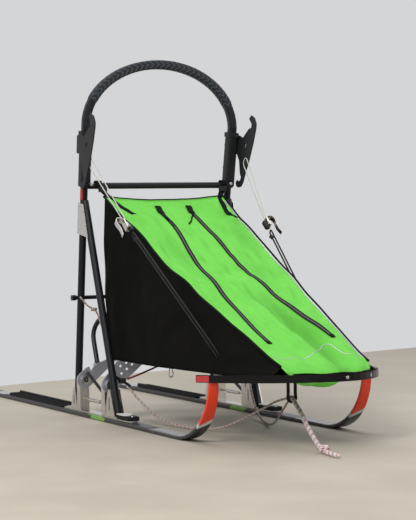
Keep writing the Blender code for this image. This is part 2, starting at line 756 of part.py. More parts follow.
def handlebar_path():
    """Centre line of the bar: up the right clamp, over the arch and down the left."""
    foot = STANCHION_TOP + PLATE + GAP
    spring = rear_leg_point(BAR_SPRING, 1)
    crown = BAR_TOP - BAR_WIDTH / 2 - BAR_SPRING
    points = [rear_leg_point(foot, -1)]
    steps = 3 * ARC_STEPS
    for step in range(steps + 1):
        angle = math.pi * step / steps
        points.append(Vector((spring.x, -spring.y * math.cos(angle),
                              BAR_SPRING + crown * math.sin(angle))))
    points.append(rear_leg_point(foot, 1))
    return points


def swept_square(name, points, half, finish):
    """A square bar with chamfered corners along points, square to the sled's X."""
    bm = bmesh.new()
    rings = []
    section = square(half, BAR_CORNER)
    for index, point in enumerate(points):
        before = points[max(index - 1, 0)]
        after = points[min(index + 1, len(points) - 1)]
        along = (after - before).normalized()
        out = along.cross(Vector((1, 0, 0))).normalized()
        deep = out.cross(along).normalized()
        rings.append([bm.verts.new(point + out * u + deep * v) for u, v in section])
    for low, high in zip(rings, rings[1:]):
        for index in range(len(section)):
            following = (index + 1) % len(section)
            bm.faces.new((low[index], low[following], high[following], high[index]))
    bm.faces.new(rings[0])
    bm.faces.new(reversed(rings[-1]))
    return from_bmesh(name, bm, finish)


def make_handlebar():
    swept_square("handlebar", handlebar_path(), BAR_WIDTH / 2, "tube_black")


def make_cross_bars():
    """Round bar between the clamps, and the lower one through the rear legs."""
    off = CLAMP_WIDTH / 2 + GAP + CROSS_BAR_RADIUS
    start, end = (leg_frame(CLAMP_BOTTOM + CROSS_BAR_RISE, side) @ Vector((off, 0, 0))
                  for _, side in SIDES)
    bar = rod("cross_bar", start, end, CROSS_BAR_RADIUS, "tube_black")
    step = Vector((0, SCREW_LENGTH, 0))
    joined(bar, rod("screws", start - step, end + step, SCREW_RADIUS))
    start, end = (rear_leg_point(LOW_BAR_HEIGHT, side) for _, side in SIDES)
    back = Vector((-LEG_RADIUS - GAP - LOW_BAR_RADIUS, 0, 0))
    out = Vector((0, LEG_RADIUS, 0))
    reach = out + Vector((0, KNOB_LENGTH / 2, 0))
    bar = rod("lower_cross_bar", start + back - reach, end + back + reach, LOW_BAR_RADIUS,
              "tube_black")
    knobs = []
    for point, sign in ((start, -1), (end, 1)):
        centre = point + back + out * sign
        knobs.append(rod("knob", centre, centre + Vector((0, sign * KNOB_LENGTH, 0)),
                         KNOB_RADIUS))
    joined(bar, *knobs)


def make_hook_plate(word, side):
    """Flat plate outside the clamp with a horn at the top and a hook at the bottom."""
    middle = (CLAMP_BOTTOM + CLAMP_TOP) / 2
    length = CLAMP_TOP - CLAMP_BOTTOM
    frame = leg_frame(middle, side)
    half = CLAMP_WIDTH / 2
    sign = 1 if frame.col[2].y * side > 0 else -1
    out = half + COLLAR_PROUD + GAP + HOOK_THICK / 2
    # Places ahead of the clamp's middle and up it, as shares of its length
    hook_shares = (
        (0.43, 0.81), (0.50, 0.88), (0.62, 0.84), (0.70, 0.74), (0.70, 0.65), (0.64, 0.39),
        (0.52, 0.01), (0.44, -0.16), (0.36, -0.39), (0.29, -0.48), (0.20, -0.51), (0.12, -0.49),
        (0.09, -0.43), (0.12, -0.38), (0.19, -0.40), (0.26, -0.36), (0.28, -0.30), (0.23, -0.24),
        (0.16, -0.01), (0.06, 0.10), (-0.08, 0.10), (-0.08, 0.42), (0.08, 0.46), (0.24, 0.43),
        (0.44, 0.62), (0.53, 0.65), (0.54, 0.72),
    )
    hole_shares = ((0.35, 0.27), (0.37, 0.33))
    outline = [(u * length, v * length) for u, v in hook_shares]
    drop = slot(*((u * length, v * length) for u, v in hole_shares), SLOT_WIDTH)
    plate("hook_plate_" + word, [outline, drop], HOOK_THICK,
          frame @ Matrix.Translation((0, 0, sign * out)), "plate_black")


def bow_front(y):
    """Station of the bow's mid-line, that far from the middle plane."""
    share = min(1, abs(y) / BOW_HALF)
    return LENGTH - BOW_THICK / 2 - BOW_REACH * (1 - (1 - share * share) ** (1 / BOW_POWER))


def bow_line(offset, steps=36):
    """Plan of the bow's inner or outer face, from the right end to the left."""
    points = []
    for step in range(steps + 1):
        y = BOW_HALF * math.sin(math.pi * (step / steps - 0.5))
        tiny = BOW_HALF / 500
        low, high = max(y - tiny, -BOW_HALF), min(y + tiny, BOW_HALF)
        along = Vector((bow_front(high) - bow_front(low), high - low)).normalized()
        points.append((at(bow_front(y)) + along.y * offset, y - along.x * offset))
    return points


def bow_height(x):
    """Rise of the bow's middle over its ends, at X."""
    share = (x - at(LENGTH - BOW_REACH)) / BOW_REACH
    return BOW_END_HEIGHT + BOW_RISE * share


def bow_solid(name, thick, height, finish=None):
    outline = bow_line(thick / 2) + bow_line(-thick / 2)[::-1]
    made = plate(name, [outline], height, along_z(0), finish)
    for vertex in made.data.vertices:
        vertex.co.z += bow_height(vertex.co.x)
    return made


def rail_points(side):
    """Route of a rail from the front bridge, on which it rests, to the bow."""
    nose = bow_front(RAIL_NOSE_HALF)
    stations = ((FRONT_HUB - OVERRUN, RAIL_HALF), (RAIL_BEND, RAIL_HALF), (nose, RAIL_NOSE_HALF))
    return [Vector((at(s), side * half, RAIL_HEIGHT)) for s, half in stations]


def rail_half(station):
    """Distance of a rail from the middle plane, at a station."""
    nose = bow_front(RAIL_NOSE_HALF)
    share = max(0, (station - RAIL_BEND) / (nose - RAIL_BEND))
    return RAIL_HALF + (RAIL_NOSE_HALF - RAIL_HALF) * share


def make_bow_and_rails():
    """The bow, and the two rails that run forward to its inner face."""
    front = at(LENGTH) + OVERRUN
    outline = bow_line(-BOW_THICK / 2 - GAP) + [(front, BOW_HALF), (front, -BOW_HALF)]
    for word, side in SIDES:
        rail = tube("rail_" + word, rail_points(side), RAIL_RADIUS, "tube_black")
        cut(rail, plate("keep_out", [outline], BOW_REACH, along_z(RAIL_HEIGHT)))
    bow_solid("brush_bow", BOW_THICK, BOW_HEIGHT, "bow_black")


# Bag seam on each side: share of the bag's length, half width as a share of the widest,
# and rise from the nose's height to the rear's
SEAM_SHARES = (
    (0.000, 1.000, 1.000),
    (0.241, 0.920, 0.757),
    (0.331, 0.918, 0.651),
    (0.422, 0.905, 0.548),
    (0.521, 0.858, 0.464),
    (0.591, 0.832, 0.381),
    (0.681, 0.793, 0.299),
    (0.761, 0.760, 0.220),
    (0.835, 0.720, 0.152),
    (0.947, 0.674, 0.042),
    (1.000, 0.655, 0.000),
)
# The nose, folded down and under: reach past the seams' ends as a share of the fold, half
# width as a share of the widest, and rise from the belly's height to the nose's
NOSE_SHARES = (
    (0.62, 0.619, 0.84),
    (0.92, 0.497, 0.53),
    (0.72, 0.431, 0.18),
    (-0.08, 0.381, 0.00),
    (-1.00, 0.355, 0.04),
)


def seam(share):
    """X, half width and height of the side seam at a share of its length."""
    _, wide, rise = blend(SEAM_SHARES, share)
    height = BAG_NOSE_HEIGHT + (BAG_REAR_HEIGHT - BAG_NOSE_HEIGHT) * rise
    return at(BAG_REAR + (BAG_NOSE - BAG_REAR) * share), BAG_HALF * wide, height


def make_bag():
    """Top, two sides, back and floor of the sewn bag, each a panel of its own."""
    steps = 20
    shares = [step / steps for step in range(steps + 1)]
    across = [step / 4 - 1 for step in range(9)]
    rows = []
    for share in shares:
        x, half, height = seam(share)
        rows.append([(x, half * a, height - BAG_SAG * (1 - a * a)) for a in across])
    for past, wide, rise in NOSE_SHARES:
        height = BELLY_HEIGHT + (BAG_NOSE_HEIGHT - BELLY_HEIGHT) * rise
        rows.append([(at(BAG_NOSE + NOSE_FOLD * past), BAG_HALF * wide * a, height)
                     for a in across])
    sheet("bag_top", rows, CLOTH, "cloth_green")
    bottom = RAIL_HEIGHT + RAIL_RADIUS + 2 * GAP
    rear_bottom = BAG_REAR + BAG_BACK_KICK
    drop = CLOTH * 2 / 3 + GAP
    tuck = RAIL_RADIUS / 2
    for word, side in SIDES:
        rows = []
        for share in shares:
            x, half, height = seam(share)
            low = rear_bottom + (BAG_NOSE - rear_bottom) * share
            foot = (at(low), side * (rail_half(low) - tuck), bottom)
            head = (x, side * (half - CLOTH / 2), max(height - drop, bottom + CLOTH))
            rows.append([])
            for down in (step / 5 for step in range(6)):
                point = [a + (b - a) * down for a, b in zip(head, foot)]
                point[0] = head[0] + (foot[0] - head[0]) * down ** BAG_BACK_POWER
                rows[-1].append(tuple(point))
        sheet("bag_side_" + word, rows, CLOTH, "cloth_black")
    floor_height = BRIDGE_TOP + GAP + CLOTH / 2
    inset = RAIL_RADIUS + GAP
    rows = []
    for share in [step / 8 for step in range(9)]:
        station = rear_bottom + (FLOOR_END - rear_bottom) * share
        half = rail_half(station) - inset
        rows.append([(at(station), half * a, floor_height) for a in across])
    sheet("bag_floor", rows, CLOTH, "cloth_black")
    x, half, height = seam(0)
    low_half = rail_half(rear_bottom) - tuck
    rows = []
    for share in [step / 10 for step in range(11)]:
        top, base = height - BAG_SAG - drop - 2 * GAP, bottom
        width = half + (low_half - half) * share - CLOTH - 2 * GAP
        kick = BAG_BACK_KICK * share ** BAG_BACK_POWER
        rows.append([(x + kick, width * a, top + (base - top) * share) for a in across])
    sheet("bag_back", rows, CLOTH, "cloth_black")


def cord_loop(name, start, end, start_half, end_half, radius, finish):
    """A closed loop of cord, wider or narrower at its two ends, in an upright plane."""
    start, end = Vector(start), Vector(end)
    along = (end - start).normalized()
    across = along.cross(Vector((0, 1, 0))).normalized()
    points = []
    for centre, half, turn in ((start, start_half, math.pi / 2), (end, end_half, -math.pi / 2)):
        for u, v in arc((0, 0), half, turn, turn + math.pi, 8):
            points.append(centre + along * u + across * v)
    return tube(name, points, radius, finish, closed=True, resolution=2)


def make_stays(word, side):
    """Taut cords from the hook plate to the lever, and from the lever to the rail."""
    plate_face = (rear_leg_point(STAY_TOP_HEIGHT, 1).y + CLAMP_WIDTH / 2 + COLLAR_PROUD + GAP)
    inset = WHITE_RADIUS + GAP + STAY_WIDE / 8
    top = Vector((at(STAY_TOP_STATION), side * (plate_face - inset), STAY_TOP_HEIGHT))
    lever = Vector((at(LEVER_STATION), side * LEVER_HALF, LEVER_HEIGHT))
    lift = RAIL_RADIUS + GAP + BLACK_RADIUS + STAY_NARROW
    foot = Vector((at(STAY_FOOT_STATION), side * (rail_half(STAY_FOOT_STATION) + RAIL_RADIUS / 4),
                   RAIL_HEIGHT + lift))
    up, down = (top - lever).normalized(), (foot - lever).normalized()
    half = LEVER_LENGTH / 2
    narrow = half + STAY_NARROW + GAP
    cord_loop("stay_upper_" + word, top, lever + up * (narrow + WHITE_RADIUS), STAY_WIDE,
              STAY_NARROW, WHITE_RADIUS, "cord_white")
    cord_loop("stay_lower_" + word, lever + down * (narrow + BLACK_RADIUS), foot, STAY_NARROW,
              STAY_NARROW, BLACK_RADIUS, "cord_black")
    along = (down - up).normalized()
    across = along.cross(Vector((0, 1, 0))).normalized()
    deep = along.cross(across)
    frame = Matrix.Translation(lever) @ Matrix((along, across, deep)).transposed().to_4x4()
    width = LEVER_WIDTH / 2
    outline = [(-half, -width), (half, -width), (half, width), (-half, width)]
    plate("stay_lever_" + word, [outline], LEVER_THICK, frame, "aluminium")


def make_brake():
    """Hoop with two claws, on pivots behind the rear bridge."""
    pivot = Vector((at(REAR_HUB - PIVOT_BEHIND), 0, PIVOT_HEIGHT))
    lean = Matrix.Translation(pivot) @ Matrix.Rotation(-BRAKE_LEAN, 4, "Y")
    top = BRAKE_HEIGHT - BRAKE_CORNER
    wide = BRAKE_HALF - BRAKE_CORNER
    half_arch = [(BRAKE_HALF, 0)] + arc((wide, top), BRAKE_CORNER, 0, math.pi / 2)
    whole = half_arch + [(-y, z) for y, z in reversed(half_arch)]
    hoop = tube("brake_hoop", [lean @ Vector((0, y, z)) for y, z in whole], BRAKE_TUBE,
                "tube_black")
    extras = []
    for _, side in SIDES:
        middle = pivot + Vector((0, side * BRAKE_HALF, 0))
        step = Vector((0, BRAKE_TUBE, 0))
        extras.append(rod("eye", middle - step, middle + step, EYE_RADIUS))
        root = lean @ Vector((0, side * CLAW_SPREAD / 2, BRAKE_HEIGHT))
        tip = lean @ Vector((0, side * CLAW_SPREAD / 2, BRAKE_HEIGHT + CLAW_LENGTH))
        extras.append(rod("claw", root, tip, CLAW_RADIUS))
    hoop = joined(hoop, *extras)
    bore = rod("bore", pivot - Vector((0, TRACK, 0)), pivot + Vector((0, TRACK, 0)),
               PIVOT_RADIUS + GAP)
    cut(hoop, bore)


def smooth_route(points, steps=ROUTE_STEPS):
    """Points on a smooth curve through the route's own points."""
    points = [Vector(point) for point in points]
    ends = [2 * points[0] - points[1]] + points + [2 * points[-1] - points[-2]]
    route = []
    for a, b, c, d in zip(ends, ends[1:], ends[2:], ends[3:]):
        for step in range(steps):
            t = step / steps
            route.append(((2 * b) + (c - a) * t + (2 * a - 5 * b + 4 * c - d) * t * t
                          + (3 * b - a - 3 * c + d) * t * t * t) / 2)
    return route + [points[-1]]


# Route of the bridle's strand on one side: station, distance from the middle, height
BRIDLE_ROUTE = (
    (1.106, 0.2080, 0.1080), (1.116, 0.1990, 0.0960), (1.135, 0.1905, 0.0780),
    (1.169, 0.1790, 0.0540), (1.205, 0.1675, 0.0330), (1.245, 0.1545, 0.0170),
    (1.288, 0.1400, 0.0080), (1.330, 0.1265, 0.0040), (1.375, 0.1120, 0.0033),
    (1.420, 0.0970, 0.0060), (1.465, 0.0830, 0.0140), (1.515, 0.0670, 0.0310),
    (1.570, 0.0490, 0.0560), (1.620, 0.0340, 0.0790), (1.665, 0.0200, 0.1000),
)
# Route of the tow rope: station, side and height
TOW_ROUTE = (
    (1.760, -0.010, 0.0980), (1.800, -0.020, 0.0830), (1.850, -0.033, 0.0580),
    (1.900, -0.045, 0.0360), (1.945, -0.055, 0.0170), (1.985, -0.065, 0.0085),
    (2.020, -0.073, 0.0064), (2.060, -0.079, 0.0062), (2.095, -0.083, 0.0062),
)


def make_ropes():
    """Elastic loop under the bag, the knot in it, the bridle's strands and the tow rope."""
    high = BRIDGE_TOP - LOOP_RADIUS
    points = []
    for centre, turn in ((high - LOOP_HALF, 0), (high - LOOP_LENGTH, math.pi)):
        points += [Vector((at(LOOP_STATION), y, z))
                   for y, z in arc((0, centre), LOOP_HALF, turn, turn + math.pi, 8)]
    tube("bungee_loop", points, LOOP_RADIUS, "cord_black", closed=True, resolution=2)
    centre = Vector((at(LOOP_STATION), 0, high - LOOP_LENGTH))
    bm = bmesh.new()
    bmesh.ops.create_uvsphere(bm, u_segments=12, v_segments=8, radius=KNOT_RADIUS)
    bmesh.ops.translate(bm, vec=centre, verts=bm.verts)
    from_bmesh("bridle_knot", bm, "cord_red")
    for word, side in SIDES:
        route = [(at(station), side * y, z) for station, y, z in BRIDLE_ROUTE]
        back, out, down = STRAND_TURN
        toward = Vector((back, side * out, down)).normalized()
        route.append(tuple(centre + toward * KNOT_RADIUS * 3))
        arrive = centre + toward * (KNOT_RADIUS + GAP)
        tube("bridle_" + word, smooth_route(route + [tuple(arrive)]), BRIDLE_RADIUS, "cord_red",
             resolution=2)
    first = Vector((at(TOW_ROUTE[0][0]), TOW_ROUTE[0][1], TOW_ROUTE[0][2]))
    leave = centre + (first - centre).normalized() * (KNOT_RADIUS + GAP)
    route = [tuple(leave)] + [(at(station), y, z) for station, y, z in TOW_ROUTE]
    tube("tow_rope", smooth_route(route), TOW_RADIUS, "cord_red", resolution=2)


SLED = collection("dog_sled")


def build():
    for word, side in SIDES:
        make_runner(word, side)
        make_foot_pad(word, side)
        make_carrier(word, side)
        make_brackets(word, side)
        make_foot_block(word, side)
        make_ties(word, side)
        make_legs(word, side)
        make_gusset(word, side)
        make_clamp(word, side)
        make_hook_plate(word, side)
        make_stays(word, side)
    make_rear_bridge()
    make_front_bridge()
    make_handlebar()
    make_cross_bars()
    make_bow_and_rails()
    make_bag()
    make_brake()
    make_ropes()


build()
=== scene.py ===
# %% [markdown]
# # A dog sled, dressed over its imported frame
# The frame holds every hard part of the sled as plain solids: skis, legs, bridges, handlebar, bow.
# This lesson gives each of them its finish, and models what a solid can't show: the sewn bag,
# the ropes, the wound grip, the bolts and the small hardware. Lengths are metres, +X is forward,
# +Y is the sled's left and +Z is up.

# %% Load the frame
import math

import bpy
from mathutils import Matrix, Vector, noise


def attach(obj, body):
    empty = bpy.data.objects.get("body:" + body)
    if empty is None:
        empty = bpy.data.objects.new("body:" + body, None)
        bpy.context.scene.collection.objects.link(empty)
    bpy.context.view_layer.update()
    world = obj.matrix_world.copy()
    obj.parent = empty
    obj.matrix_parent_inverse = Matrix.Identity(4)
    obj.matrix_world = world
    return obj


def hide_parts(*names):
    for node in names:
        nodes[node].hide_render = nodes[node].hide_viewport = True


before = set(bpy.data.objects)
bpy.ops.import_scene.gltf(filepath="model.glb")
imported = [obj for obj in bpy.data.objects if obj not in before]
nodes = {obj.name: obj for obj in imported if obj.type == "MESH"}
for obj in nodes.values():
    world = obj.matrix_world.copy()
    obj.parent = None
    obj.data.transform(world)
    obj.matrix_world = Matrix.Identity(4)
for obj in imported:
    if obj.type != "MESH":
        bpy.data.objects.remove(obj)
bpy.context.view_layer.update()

# %% [markdown]
# ## The camera first
# The photograph was taken from the front and the sled's right, with a long lens, a little above
# the bag's nose. Its place was solved from points that are symmetric on the real sled, so the
# camera is set once and never moved. A long lens keeps both skis nearly parallel in the picture.

# %% Camera
CAMERA_PLACE = Vector((4.854, -2.358, 0.608))
HEADING, PITCH, ROLL = (math.radians(a) for a in (62.956, 1.4582, 0.8225))

bpy.ops.object.select_all(action="DESELECT")
bpy.ops.object.camera_add()
camera = bpy.context.object
camera.name = "photo_camera"
camera.matrix_world = (
    Matrix.Translation(CAMERA_PLACE)
    @ Matrix.Rotation(HEADING, 4, "Z")
    @ Matrix.Rotation(math.pi / 2 - PITCH, 4, "X")
    @ Matrix.Rotation(-ROLL, 4, "Z")
)
camera.data.sensor_fit = "VERTICAL"
camera.data.sensor_height = 36
camera.data.lens = 122.996
camera.data.clip_end = 60
bpy.context.scene.camera = camera
print("lens", round(camera.data.lens, 1), "mm")

# %% [markdown]
# ## Stations
# The sled is measured from the tails of its skis, as a boat is from its stern. These few sizes
# repeat the ones that the frame was made from, so that each new piece lands on what carries it.

# %% Sizes shared with the frame
LENGTH = 2.0
HALF_TRACK = 0.236
RAIL_HEIGHT, RAIL_RADIUS = 0.1883, 0.008
BRIDGE_TOP = 0.180
BAR_HEIGHT = 0.704
LEG_FOOT, LEG_STATION, LEG_HALF = 0.0226, 0.793, 0.2325
LEG_RAKE, LEG_SPREAD = 0.157, 0.0186  # Forward and outward for each metre up


def at(station):
    """X of a station, counted forward from the skis' tails."""
    return station - LENGTH / 2


def leg_point(height, side):
    """Centre of the rear leg and the clamp over it, at a height."""
    rise = height - LEG_FOOT
    return Vector((at(LEG_STATION) + LEG_RAKE * rise, side * (LEG_HALF + LEG_SPREAD * rise),
                   height))


SIDES = (("right", -1), ("left", 1))
FORWARD = Vector((1, 0, 0))
print("rear leg at the cross bar:", [round(c, 4) for c in leg_point(BAR_HEIGHT, 1)])

# %% [markdown]
# ## Two ways to start a piece
# Cloth, straps and rope are all a flat grid at heart: rows of points one after another. So one
# helper adds a grid and lays its points where a rule says, and measures a UV map in metres on it,
# which lets a weave keep its real size however the cloth is bent. A rope is the same grid rolled
# round a line. A curve object with a bevel could be used too, but its UV map isn't in metres.

# %% Grid laid out by a rule
def fresh():
    """Select nothing, so that an operator acts only on what is chosen next."""
    bpy.ops.object.select_all(action="DESELECT")


def laid(name, across, along, place):
    """A grid whose point at (u, v), both 0 to 1, goes to place(u, v). Its UV map is in metres."""
    fresh()
    bpy.ops.mesh.primitive_grid_add(x_subdivisions=across, y_subdivisions=along, size=2)
    made = bpy.context.object
    made.name = made.data.name = name
    spots = [(round((v.co.x + 1) / 2 * across), round((v.co.y + 1) / 2 * along))
             for v in made.data.vertices]
    table = {spot: Vector(place(spot[0] / across, spot[1] / along)) for spot in spots}
    middle = across // 2
    far, wide = {(middle, 0): 0.0}, {}
    for j in range(1, along + 1):
        step = (table[middle, j] - table[middle, j - 1]).length
        far[middle, j] = far[middle, j - 1] + step
    for j in range(along + 1):
        wide[middle, j] = 0.0
        for i in range(middle + 1, across + 1):
            wide[i, j] = wide[i - 1, j] + (table[i, j] - table[i - 1, j]).length
        for i in range(middle - 1, -1, -1):
            wide[i, j] = wide[i + 1, j] - (table[i + 1, j] - table[i, j]).length
    layer = made.data.uv_layers.active
    for loop in made.data.loops:
        i, j = spots[loop.vertex_index]
        layer.uv[loop.index].vector = (wide[i, j], far[middle, j])
    for vertex, spot in zip(made.data.vertices, spots):
        vertex.co = table[spot]
    return made


# %% Lines that cloth and rope follow
def eased(points, steps=6):
    """Points on a smooth curve through the given ones."""
    points = [Vector(p) for p in points]
    ends = [2 * points[0] - points[1]] + points + [2 * points[-1] - points[-2]]
    route = []
    for a, b, c, d in zip(ends, ends[1:], ends[2:], ends[3:]):
        for step in range(steps):
            t = step / steps
            route.append((2 * b + (c - a) * t + (2 * a - 5 * b + 4 * c - d) * t * t
                          + (3 * b - a - 3 * c + d) * t * t * t) / 2)
    return route + [points[-1]]


def reach(route):
    """Length of a line of points."""
    return sum((b - a).length for a, b in zip(route, route[1:]))


def frames(route, hint=Vector((0, 0, 1))):
    """For each point of a line: the point, and two directions square to the line, untwisted."""
    found = []
    side = None
    for index, point in enumerate(route):
        along = (route[min(index + 1, len(route) - 1)] - route[max(index - 1, 0)]).normalized()
        if side is None:
            side = along.cross(hint).normalized()
        side = (side - along * side.dot(along)).normalized()
        found.append((point, side, side.cross(along).normalized()))
    return found


# %% Grid rolled into a rope, or into any section
def rolled(name, route, section, around=12, hint=Vector((0, 0, 1)), closed_ends=True):
    """A tube along a line. section(angle, share) gives the offset to the side and up."""
    rings = frames(route, hint)
    total = len(rings) - 1

    def place(u, v):
        point, side, up = rings[round(v * total)]
        a, b = section(math.tau * u, v)
        return point + side * a + up * b

    made = laid(name, around, total, place)
    bpy.ops.object.mode_set(mode="EDIT")
    bpy.ops.mesh.select_mode(type="VERT")
    bpy.ops.mesh.select_all(action="SELECT")
    bpy.ops.mesh.remove_doubles(threshold=1e-6)
    if closed_ends:
        bpy.ops.mesh.select_all(action="DESELECT")
        bpy.ops.mesh.select_non_manifold()
        bpy.ops.mesh.fill_holes(sides=0)
    bpy.ops.mesh.select_all(action="SELECT")
    bpy.ops.mesh.normals_make_consistent(inside=False)
    bpy.ops.object.mode_set(mode="OBJECT")
    bpy.ops.object.shade_smooth()
    return made


def round_section(radius):
    """The rule of a plain round rope."""
    return lambda angle, share: (radius * math.cos(angle), radius * math.sin(angle))


# %% Applying modifiers, joining, and handing a finished piece to the frame
def applied(made, kind, **settings):
    """Add a modifier, set it and apply it, as its drop-down menu does."""
    fresh()
    made.select_set(True)
    bpy.context.view_layer.objects.active = made
    modifier = made.modifiers.new(kind.title(), kind)
    for key, value in settings.items():
        setattr(modifier, key, value)
    bpy.ops.object.modifier_apply(modifier=modifier.name)
    return made


def block(name, size, place, finish, turn=(0, 0, 0), **bevel):
    """A small box with bevelled edges, in its finish."""
    fresh()
    bpy.ops.mesh.primitive_cube_add(size=1, location=place, rotation=turn)
    made = bpy.context.object
    made.name = name
    made.scale = size
    bpy.ops.object.transform_apply(location=False, rotation=False, scale=True)
    applied(made, "BEVEL", **bevel)
    made.data.materials.append(finish.material)
    return made


def united(name, pieces):
    """Several finished objects as one, with its own name."""
    fresh()
    for piece in pieces:
        piece.select_set(True)
    made = bpy.context.view_layer.objects.active = pieces[0]
    bpy.ops.object.join()
    made.name = made.data.name = name
    return made


def settled(made, finish=None):
    """Put the object's place into its mesh, give it its finish and hang it on the sled."""
    fresh()
    made.select_set(True)
    bpy.context.view_layer.objects.active = made
    bpy.ops.object.transform_apply(location=True, rotation=True, scale=True)
    if finish:
        made.data.materials.clear()
        made.data.materials.append(finish.material)
    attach(made, "sled")


# %% [markdown]
# ## Ropes
# The bridle is one thin braided rope in two strands: each leaves a black tie at a front hub,
# sags to the floor and climbs to the elastic loop under the bag's nose. A thicker tow rope of
# the same kind runs on from there and ends in its own knot on the floor. Their routes repeat
# the frame's own, so the visible ropes lie exactly where the plain ones do.

# %% Routes of the ropes
BRIDLE_ROUTE = (
    (1.106, 0.2080, 0.1080), (1.116, 0.1990, 0.0960), (1.135, 0.1905, 0.0780),
    (1.169, 0.1790, 0.0540), (1.205, 0.1675, 0.0330), (1.245, 0.1545, 0.0170),
    (1.288, 0.1400, 0.0080), (1.330, 0.1265, 0.0040), (1.375, 0.1120, 0.0033),
    (1.420, 0.0970, 0.0060), (1.465, 0.0830, 0.0140), (1.515, 0.0670, 0.0310),
    (1.570, 0.0490, 0.0560), (1.620, 0.0340, 0.0790), (1.665, 0.0200, 0.1000),
)
TOW_ROUTE = (
    (1.760, -0.010, 0.0980), (1.800, -0.020, 0.0830), (1.850, -0.033, 0.0580),
    (1.900, -0.045, 0.0360), (1.945, -0.055, 0.0170), (1.985, -0.065, 0.0085),
    (2.020, -0.073, 0.0064), (2.060, -0.079, 0.0062), (2.095, -0.083, 0.0062),
)
BRIDLE_RADIUS, TOW_RADIUS, LOOP_RADIUS, KNOT_RADIUS = 0.003, 0.006, 0.0045, 0.0072
LOOP_STATION, LOOP_HALF, LOOP_LENGTH = 1.718, 0.012, 0.060
loop_high = BRIDGE_TOP - LOOP_RADIUS
knot_centre = Vector((at(LOOP_STATION), 0, loop_high - LOOP_LENGTH))
print("knot at", [round(c, 4) for c in knot_centre])

# %% [markdown]
# A knot can be modelled as a sphere with noise, but a rope's own turns read better, even small:
# here the rope follows a flattened figure of three lobes, the trefoil, which is the overhand
# knot closed on itself.

# %% Knots from turns of rope
def knot(name, centre, size, radius, ahead=FORWARD, steps=56):
    """An overhand knot's turns round a centre, with the rope's own thickness."""
    up = Vector((0, 0, 1)) if abs(ahead.z) < 0.9 else Vector((0, 1, 0))
    side = ahead.cross(up).normalized()
    up = side.cross(ahead).normalized()
    line = []
    for step in range(steps + 1):
        t = math.tau * step / steps
        a = (math.sin(t) + 2 * math.sin(2 * t)) / 3
        b = (math.cos(t) - 2 * math.cos(2 * t)) / 3
        c = -math.sin(3 * t) / 2
        line.append(centre + (ahead * a + side * b + up * c * 0.9) * (size - radius))
    return rolled(name, line, round_section(radius), around=10, closed_ends=False)


bridle_knot = knot("bridle_hitch", knot_centre, KNOT_RADIUS, 0.0028)
tow_knot = knot("tow_stopper", Vector((at(1.998), -0.068, 0.0135)), 0.0150, 0.0056,
                Vector((0.96, -0.2, 0)).normalized())

# %% Bridle strands, tow rope and elastic loop
KNOT_DEPTH = KNOT_RADIUS - 0.002  # How near to the knot's middle a rope's end goes in
ROPE_STEPS = 10
bridles = []
for word, side in SIDES:
    points = [(at(s), side * y, z) for s, y, z in BRIDLE_ROUTE]
    toward = Vector((-0.84, side * 0.48, -0.25)).normalized()
    points += [knot_centre + toward * far for far in (KNOT_RADIUS * 3, KNOT_DEPTH)]
    line = eased(points, ROPE_STEPS)
    made = rolled("bridle_rope_" + word, line, round_section(BRIDLE_RADIUS))
    bridles.append((made, line, word))
    print(word, "strand", round(reach(line), 3), "m")

tow_points = [Vector((at(s), y, z)) for s, y, z in TOW_ROUTE]
toward = (tow_points[0] - knot_centre).normalized()
tow_line = eased([knot_centre + toward * KNOT_DEPTH] + tow_points, ROPE_STEPS)


def cut_section(angle, share):
    """The rope's round section, rounded off at its cut end."""
    left = (1 - share) * reach(tow_line) / TOW_RADIUS
    radius = TOW_RADIUS * math.sqrt(max(0.02, 1 - (1 - min(1, left)) ** 2))
    return radius * math.cos(angle), radius * math.sin(angle)


tow = rolled("tow_line", tow_line, cut_section, around=14)

# One side of the loop, from the bow down, the bend round the knot, and the same side mirrored
fall = [(0.006, loop_high)] + [(0.011, loop_high - drop) for drop in (0.012, 0.03, 0.05)]
turns = [math.pi + math.pi * step / 12 for step in range(13)]
bend = [(LOOP_HALF * math.cos(turn), loop_high - LOOP_LENGTH + LOOP_HALF * math.sin(turn))
        for turn in turns]
outline = [(-y, z) for y, z in fall] + bend + fall[::-1]
loop_line = eased([(at(LOOP_STATION), y, z) for y, z in outline], 3)
elastic = rolled("elastic_loop", loop_line, round_section(LOOP_RADIUS), hint=FORWARD)
print("tow rope", round(reach(tow_line), 3), "m, loop", round(reach(loop_line), 3), "m")

for made, line, word in bridles:
    settled(made)
    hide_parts("bridle_" + word)
    reach(line)
settled(tow)
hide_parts("tow_rope")
settled(bridle_knot)
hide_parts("bridle_knot")
settled(tow_knot)
reach(tow_line)
settled(elastic)
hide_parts("bungee_loop")
reach(loop_line)

# %% [markdown]
# ## Finishes
# A material in Blender is a graph of nodes. Written as plain expressions it is shorter and
# easier to follow, so one class wraps a socket, and Python's own operators add the Math nodes.
# Anything else, such as a noise, comes from one method. Colours and normals never pass through
# a Math node, because that would turn them grey.

